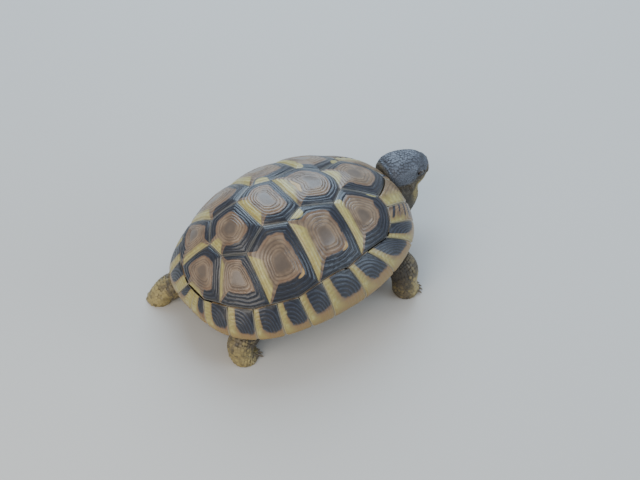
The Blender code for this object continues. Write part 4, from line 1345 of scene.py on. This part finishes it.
def headScales():
    # broad flat scales on the crown, small ones on cheeks and throat, none on lids, ear or mouth
    rng = np.random.default_rng(7)
    length = headForm["length"][1] - headForm["length"][0]
    girth = lambda share: 1.9 * np.pi * float(spline(headForm["shape"], np.array([share]))[0][0])
    along, around, step = scaleRows(length, girth, lambda t: 1.25, 7, 0.2)
    inside = (along > 0.10) & (along < 0.93)
    along, around, step = along[inside], around[inside], step[inside]
    local = headPoint(along, around)
    x, y, z = local.T
    _, _, radius, _ = eyeSpace(local)
    line = headForm["mouth"]
    drumX, drumZ = faceForm["drumAt"]
    ear = np.hypot((x - drumX) / 3.0, (z - drumZ) / 2.6)
    side = np.abs(y) > 4
    bare = (side & ((radius < 3.6) | (ear < 0.9))) | ((np.abs(z - line) < 0.7) & (x > -1))
    beak = (x > 11.4) & (z < 1.6)
    crown = z > 6.2
    chosen = ~(bare | beak | crown)
    targets, step = fromHead(local[chosen]), step[chosen]
    # crown shields on their own grid in plan, larger towards the middle
    rows, cols = np.meshgrid(np.arange(-13, 13, 1.65), np.arange(-11, 12, 1.8), indexing="ij")
    gx = (rows + 0.8 * (np.arange(rows.shape[1]) % 2) + rng.normal(0, 0.33, rows.shape)).ravel()
    gy = (cols + rng.normal(0, 0.30, cols.shape)).ravel()
    t = (gx - headForm["length"][0]) / length
    wide, top, bottom = np.moveaxis(spline(headForm["shape"], np.clip(t, 0, 1)), -1, 0)
    fits = (t > 0.08) & (t < 0.90) & (np.abs(gy) < wide * 0.93)
    gx, gy, wide, top, bottom = (v[fits] for v in (gx, gy, wide, top, bottom))
    lift = (1 - (np.abs(gy) / wide) ** 2.4) ** 0.42
    gz = (top + bottom) / 2 + (top - bottom) / 2 * lift
    shields = gz > 5.9
    above = fromHead(np.stack([gx, gy, gz], -1)[shields])
    sites, facing = laidOnSkin(np.concatenate([targets, above]))
    count = len(targets)
    width = np.concatenate([step * 0.60, 1.02 * rng.uniform(0.85, 1.2, len(above))]) * mm
    height = np.concatenate([np.full(count, 0.17), np.full(len(above), 0.24)]) * mm
    lie = np.broadcast_to(-headTurn[:, 0], sites.shape)
    local = toHead(np.concatenate([targets, above]))
    turn = np.arctan2(local[:, 1], local[:, 2] + 3) / (2 * np.pi) + 0.5
    roots = np.stack([0.75 + 0.22 * (local[:, 0] + 15) / 32, 0.30 + 0.4 * turn], -1)
    buildScales("scalesHead", "head_skin", sites, facing, lie, width, width * 1.03, height,
                np.full(len(sites), 0.05), roots, 8)


headScales()


# claws: bent cones, flattened a little, grown out of the toes
clawForm = {"length": 5.4, "radius": 1.62, "drop": 2.5, "rows": 22, "around": 16}
clawHorn = Look("clawHorn", {"Roughness": 0.38, "Coat Weight": 0.2, "Coat Roughness": 0.25})
streaks = clawHorn.grain(500, 3, 0.6)
clawTone = clawHorn.blend(clawHorn.field("along") + (streaks - 0.5) * 0.3, (0.045, 0.034, 0.024),
                          (0.17, 0.125, 0.075))
clawHorn.feed("Base Color", clawTone)
clawHorn.bump(streaks, 0.4, 0.15 * mm)

for key, limb in limbs.items():
    if "claws" not in limb:
        continue
    # each claw runs out along its toe, drops as the square of the way and narrows as its root
    sets = []
    roots, ways = toePoints(limb)
    t = np.linspace(0, 1, clawForm["rows"])[:, None]
    turn = 2 * np.pi * np.arange(clawForm["around"]) / clawForm["around"]
    for root, way in zip(roots, ways):
        side = np.array((-way[1], way[0], 0))
        centre = root + way * (clawForm["length"] * t)
        centre = centre - upwards * clawForm["drop"] * t * t
        wide = clawForm["radius"] * (1 - t) ** 0.5 * (1 - 0.2 * t) + 0.03
        grid = (centre[:, None] + side * (wide * 0.86 * np.cos(turn))[..., None]
                + upwards * (wide * np.sin(turn))[..., None])
        grid[..., 2] = np.maximum(grid[..., 2], floorLevel + 0.1)
        flat, quads, fans = closedGrid(worldPoints(grid))
        sets.append((flat, quads, fans, np.concatenate([np.repeat(t.ravel(), len(turn)), [0, 1]])))
    start = np.cumsum([0] + [len(s[0]) for s in sets[:-1]])
    claws = makeObject("claws" + titled(key.split("_")[1:]),
                       np.concatenate([s[0] for s in sets]),
                       np.concatenate([s[1] + o for s, o in zip(sets, start)]),
                       np.concatenate([s[2] + o for s, o in zip(sets, start)]), clawHorn.material,
                       {"along": np.concatenate([s[3] for s in sets])})
    place(claws, "spur_horn")
spurPath = {"path": [(-63, 8.1, -18.6), (-62.8, 9.8, -20.4), (-62.3, 11, -22.2)],
            "radii": [(2.0, 2.0), (1.5, 1.5), (0.4, 0.4)]}
t, turn = np.linspace(0, 1, 20)[:, None], 2 * np.pi * np.arange(18) / 18
flat, quads, fans = closedGrid(worldPoints(limbPoint(spurPath, t + 0 * turn, turn + 0 * t, -0.05)))
spur = makeObject("tailSpur", flat, quads, fans, clawHorn.material,
                  {"along": np.concatenate([np.repeat(t.ravel(), 18), [0, 1]])})
place(spur, "spur_horn", "tail_spur")
print("claws and spur made")

# beak: the front of the head form cut off above and below the mouth, rounded and ridged
beakHorn = Look("beakHorn", {"Roughness": 0.45, "Coat Weight": 0.08, "Coat Roughness": 0.3})
streaks = beakHorn.grain(420, 5, 0.65, (1, 1, 0.22))
fineHorn = beakHorn.grain(1500, 3, 0.6)
beakTone = beakHorn.blend(streaks.step(0.35, 0.65), (0.040, 0.032, 0.026), (0.135, 0.105, 0.062))
beakHorn.feed("Base Color", beakTone)
beakHorn.feed("Roughness", fineHorn * 0.25 + 0.36)
beakHorn.bump(streaks + fineHorn * 0.4, 0.6, 0.3 * mm)
beakForm = {"across": 72, "levels": 60, "rows": 26, "proud": 0.16, "edge": 0.55, "thick": 0.8}


def frontRow(height, sweep):
    # the outline of the head at one height, from one cheek round the snout to the other
    t = np.linspace(0, 1, 400)
    wide, top, bottom = np.moveaxis(spline(headForm["shape"], t), -1, 0)
    x = headForm["length"][0] + (headForm["length"][1] - headForm["length"][0]) * t
    level = np.clip(np.abs(height - (top + bottom) / 2) / ((top - bottom) / 2), 0, 1)
    y = wide * (1 - level ** (2 / headForm["squareness"])) ** (headForm["squareness"] / 2)
    keep = (x > 7.0) & (y > 0.02)
    tip = x[keep].max()
    px, py = np.append(x[keep], tip + 0.9), np.append(y[keep], 0.0)
    py = py * (1 - 0.35 * ramp(tip - 1.5, tip + 0.9, px))
    arc = np.concatenate([[0], np.cumsum(np.hypot(np.diff(px), np.diff(py)))])
    at = arc[-1] - np.abs(sweep)
    return np.stack([np.interp(at, arc, px), np.interp(at, arc, py) * np.sign(sweep),
                     np.full(len(sweep), height)], -1)


def hornCap(name, node, reach, low, high):
    # low and high edges are functions of the way round the snout; the outer surface follows the
    # head between them, rolls in at its edges, and the inner one lies deeper in the skin
    sweep = np.linspace(-reach, reach, beakForm["across"])
    levels = np.linspace(-10, 3, beakForm["levels"])
    table = np.stack([frontRow(level, sweep) for level in levels])
    share = np.linspace(0, 1, beakForm["rows"])[:, None]
    around = sweep[None] / reach
    height = low(around) + (high(around) - low(around)) * share
    outer = np.stack([np.stack([np.interp(height[:, k], levels, table[:, k, axis])
                                for k in range(len(sweep))], 1) for axis in range(3)], -1)
    normal = unit(np.cross(np.gradient(outer, axis=1), np.gradient(outer, axis=0)))
    normal = normal * np.sign((normal * (outer - (5.0, 0, -3.5))).sum(-1, keepdims=True))
    rim = np.minimum(np.minimum(share, 1 - share) * (high(around) - low(around)) / 0.7,
                     (1 - np.abs(around)) * reach / 0.9)
    lift = beakForm["proud"] - beakForm["edge"] * (1 - np.clip(rim, 0, 1)) ** 2
    outer = outer + normal * lift[..., None]
    ring = np.concatenate([outer, (outer - normal * beakForm["thick"])[:, ::-1]], axis=1)
    flat, quads, fans = closedGrid(ring)
    piece = makeObject(name, worldPoints(fromHead(flat)), quads, fans, beakHorn.material)
    place(piece, "beak_horn", node)


hornCap("upperBeak", "upper_beak", 7.6,
        lambda s: -5.3 - 0.35 * np.exp(-(s / 0.16) ** 2) + 0.5 * np.abs(s) ** 3,
        lambda s: 1.0 - 3.4 * np.abs(s) ** 1.6)
hornCap("lowerBeak", "lower_jaw", 7.8, lambda s: -8.2 + 1.5 * np.abs(s) ** 2,
        lambda s: -5.75 - 0.25 * np.exp(-(s / 0.2) ** 2) + 0.45 * np.abs(s) ** 3)

# eyes: dark iris with a fine radial grain round a round pupil, under a wet coat
eyeLook = Look("eye", {"Roughness": 0.12, "Coat Weight": 1.0, "Coat Roughness": 0.03})
iris = eyeLook.field("iris")
grain = eyeLook.grain(1400, 4, 0.6)
eyeTone = eyeLook.blend((iris + (grain - 0.5) * 0.25).step(0.2, 0.9), (0.045, 0.022, 0.010),
                        (0.012, 0.008, 0.006))
eyeTone = eyeLook.blend(iris.step(0.36, 0.30), eyeTone, (0.002, 0.002, 0.002))
eyeLook.feed("Base Color", eyeTone)
for side, sign in (("left", 1), ("right", -1)):
    a = np.linspace(0.02, np.pi - 0.02, 64)[:, None]
    b = 2 * np.pi * np.arange(64) / 64
    bulge = headForm["eyeRadius"] - 0.06 + 0.05 * np.exp(-(a / 0.5) ** 2)
    x0, y0, z0 = headForm["eye"]
    grid = np.stack([x0 + bulge * np.sin(a) * np.cos(b), sign * (y0 + bulge * np.cos(a) + 0 * b),
                     z0 + bulge * np.sin(a) * np.sin(b)], -1)
    flat, quads, fans = closedGrid(worldPoints(fromHead(grid)))
    spread = np.sin(a) * (a < np.pi / 2) + (a >= np.pi / 2)
    eye = makeObject("eye" + side.capitalize(), flat, quads, fans, eyeLook.material,
                     {"iris": np.concatenate([(spread + 0 * b).ravel(), [0, 1]])})
    place(eye, "eye", "eye_" + side)
print("beak and eyes made")


# the stage: a pale floor, and soft lights by power, colour, place, height aimed at and size: cool
# daylight from behind and above, a broad warm light and a cool one from the near side
stage = {"floor": 6.0, "room": (0.78, 0.83, 0.93, 1), "roomStrength": 0.56}
softboxes = {
    "softboxAbove": (9.5, (0.62, 0.81, 1.0), (0.36, 0.52, 0.70), 0.03, 0.8),
    "softboxFront": (3.8, (1.0, 0.93, 0.82), (-0.60, -0.25, 0.50), 0.03, 0.6),
    "softboxSide": (2.6, (0.66, 0.83, 1.0), (0.45, -0.62, 0.36), 0.04, 0.5),
}
floorMesh = bpy.data.meshes.new("floor")
floorMesh.from_pydata([(x * stage["floor"], y * stage["floor"], 0)
                       for x, y in ((-1, -1), (1, -1), (1, 1), (-1, 1))], [], [(0, 1, 2, 3)])
floor = newObject("floor", floorMesh)
floorLook = Look("paleFloor", {"Base Color": (0.62, 0.60, 0.56, 1), "Roughness": 0.85})
floorMesh.materials.append(floorLook.material)
for name, (power, colour, spot, aim, size) in softboxes.items():
    lamp = bpy.data.lights.new(name, "AREA")
    lamp.energy, lamp.color, lamp.size = power, colour, size
    light = newObject(name, lamp)
    light.location = spot
    light.rotation_euler = (Vector((0, 0, aim)) - Vector(spot)).to_track_quat("-Z", "Y").to_euler()
world = bpy.data.worlds.new("room")
bpy.context.scene.world = world
world.use_nodes = True
world.node_tree.nodes["Background"].inputs["Color"].default_value = stage["room"]
world.node_tree.nodes["Background"].inputs["Strength"].default_value = stage["roomStrength"]

# the camera looks down at the right side from a little behind; it aims beside the middle of the
# shell, so many millimetres to the right and upwards in the picture
view = {"right": (0.8028, -0.5962, 0.0), "back": (-0.4280, -0.5763, 0.6961), "lens": 138.3,
        "distance": 1.5, "aside": 16.94 * mm, "above": 8.18 * mm}
right, back = Vector(view["right"]), Vector(view["back"])
target = Vector(shell["centre"]) + right * view["aside"] + back.cross(right) * view["above"]
cameraData = bpy.data.cameras.new("camera")
cameraData.sensor_width, cameraData.lens = 36, view["lens"]
cameraData.clip_start = 0.05
camera = newObject("camera", cameraData)
camera.location = target + back * view["distance"]
camera.rotation_euler = (-back).to_track_quat("-Z", "Y").to_euler()
bpy.context.scene.camera = camera
print("stage and camera set")
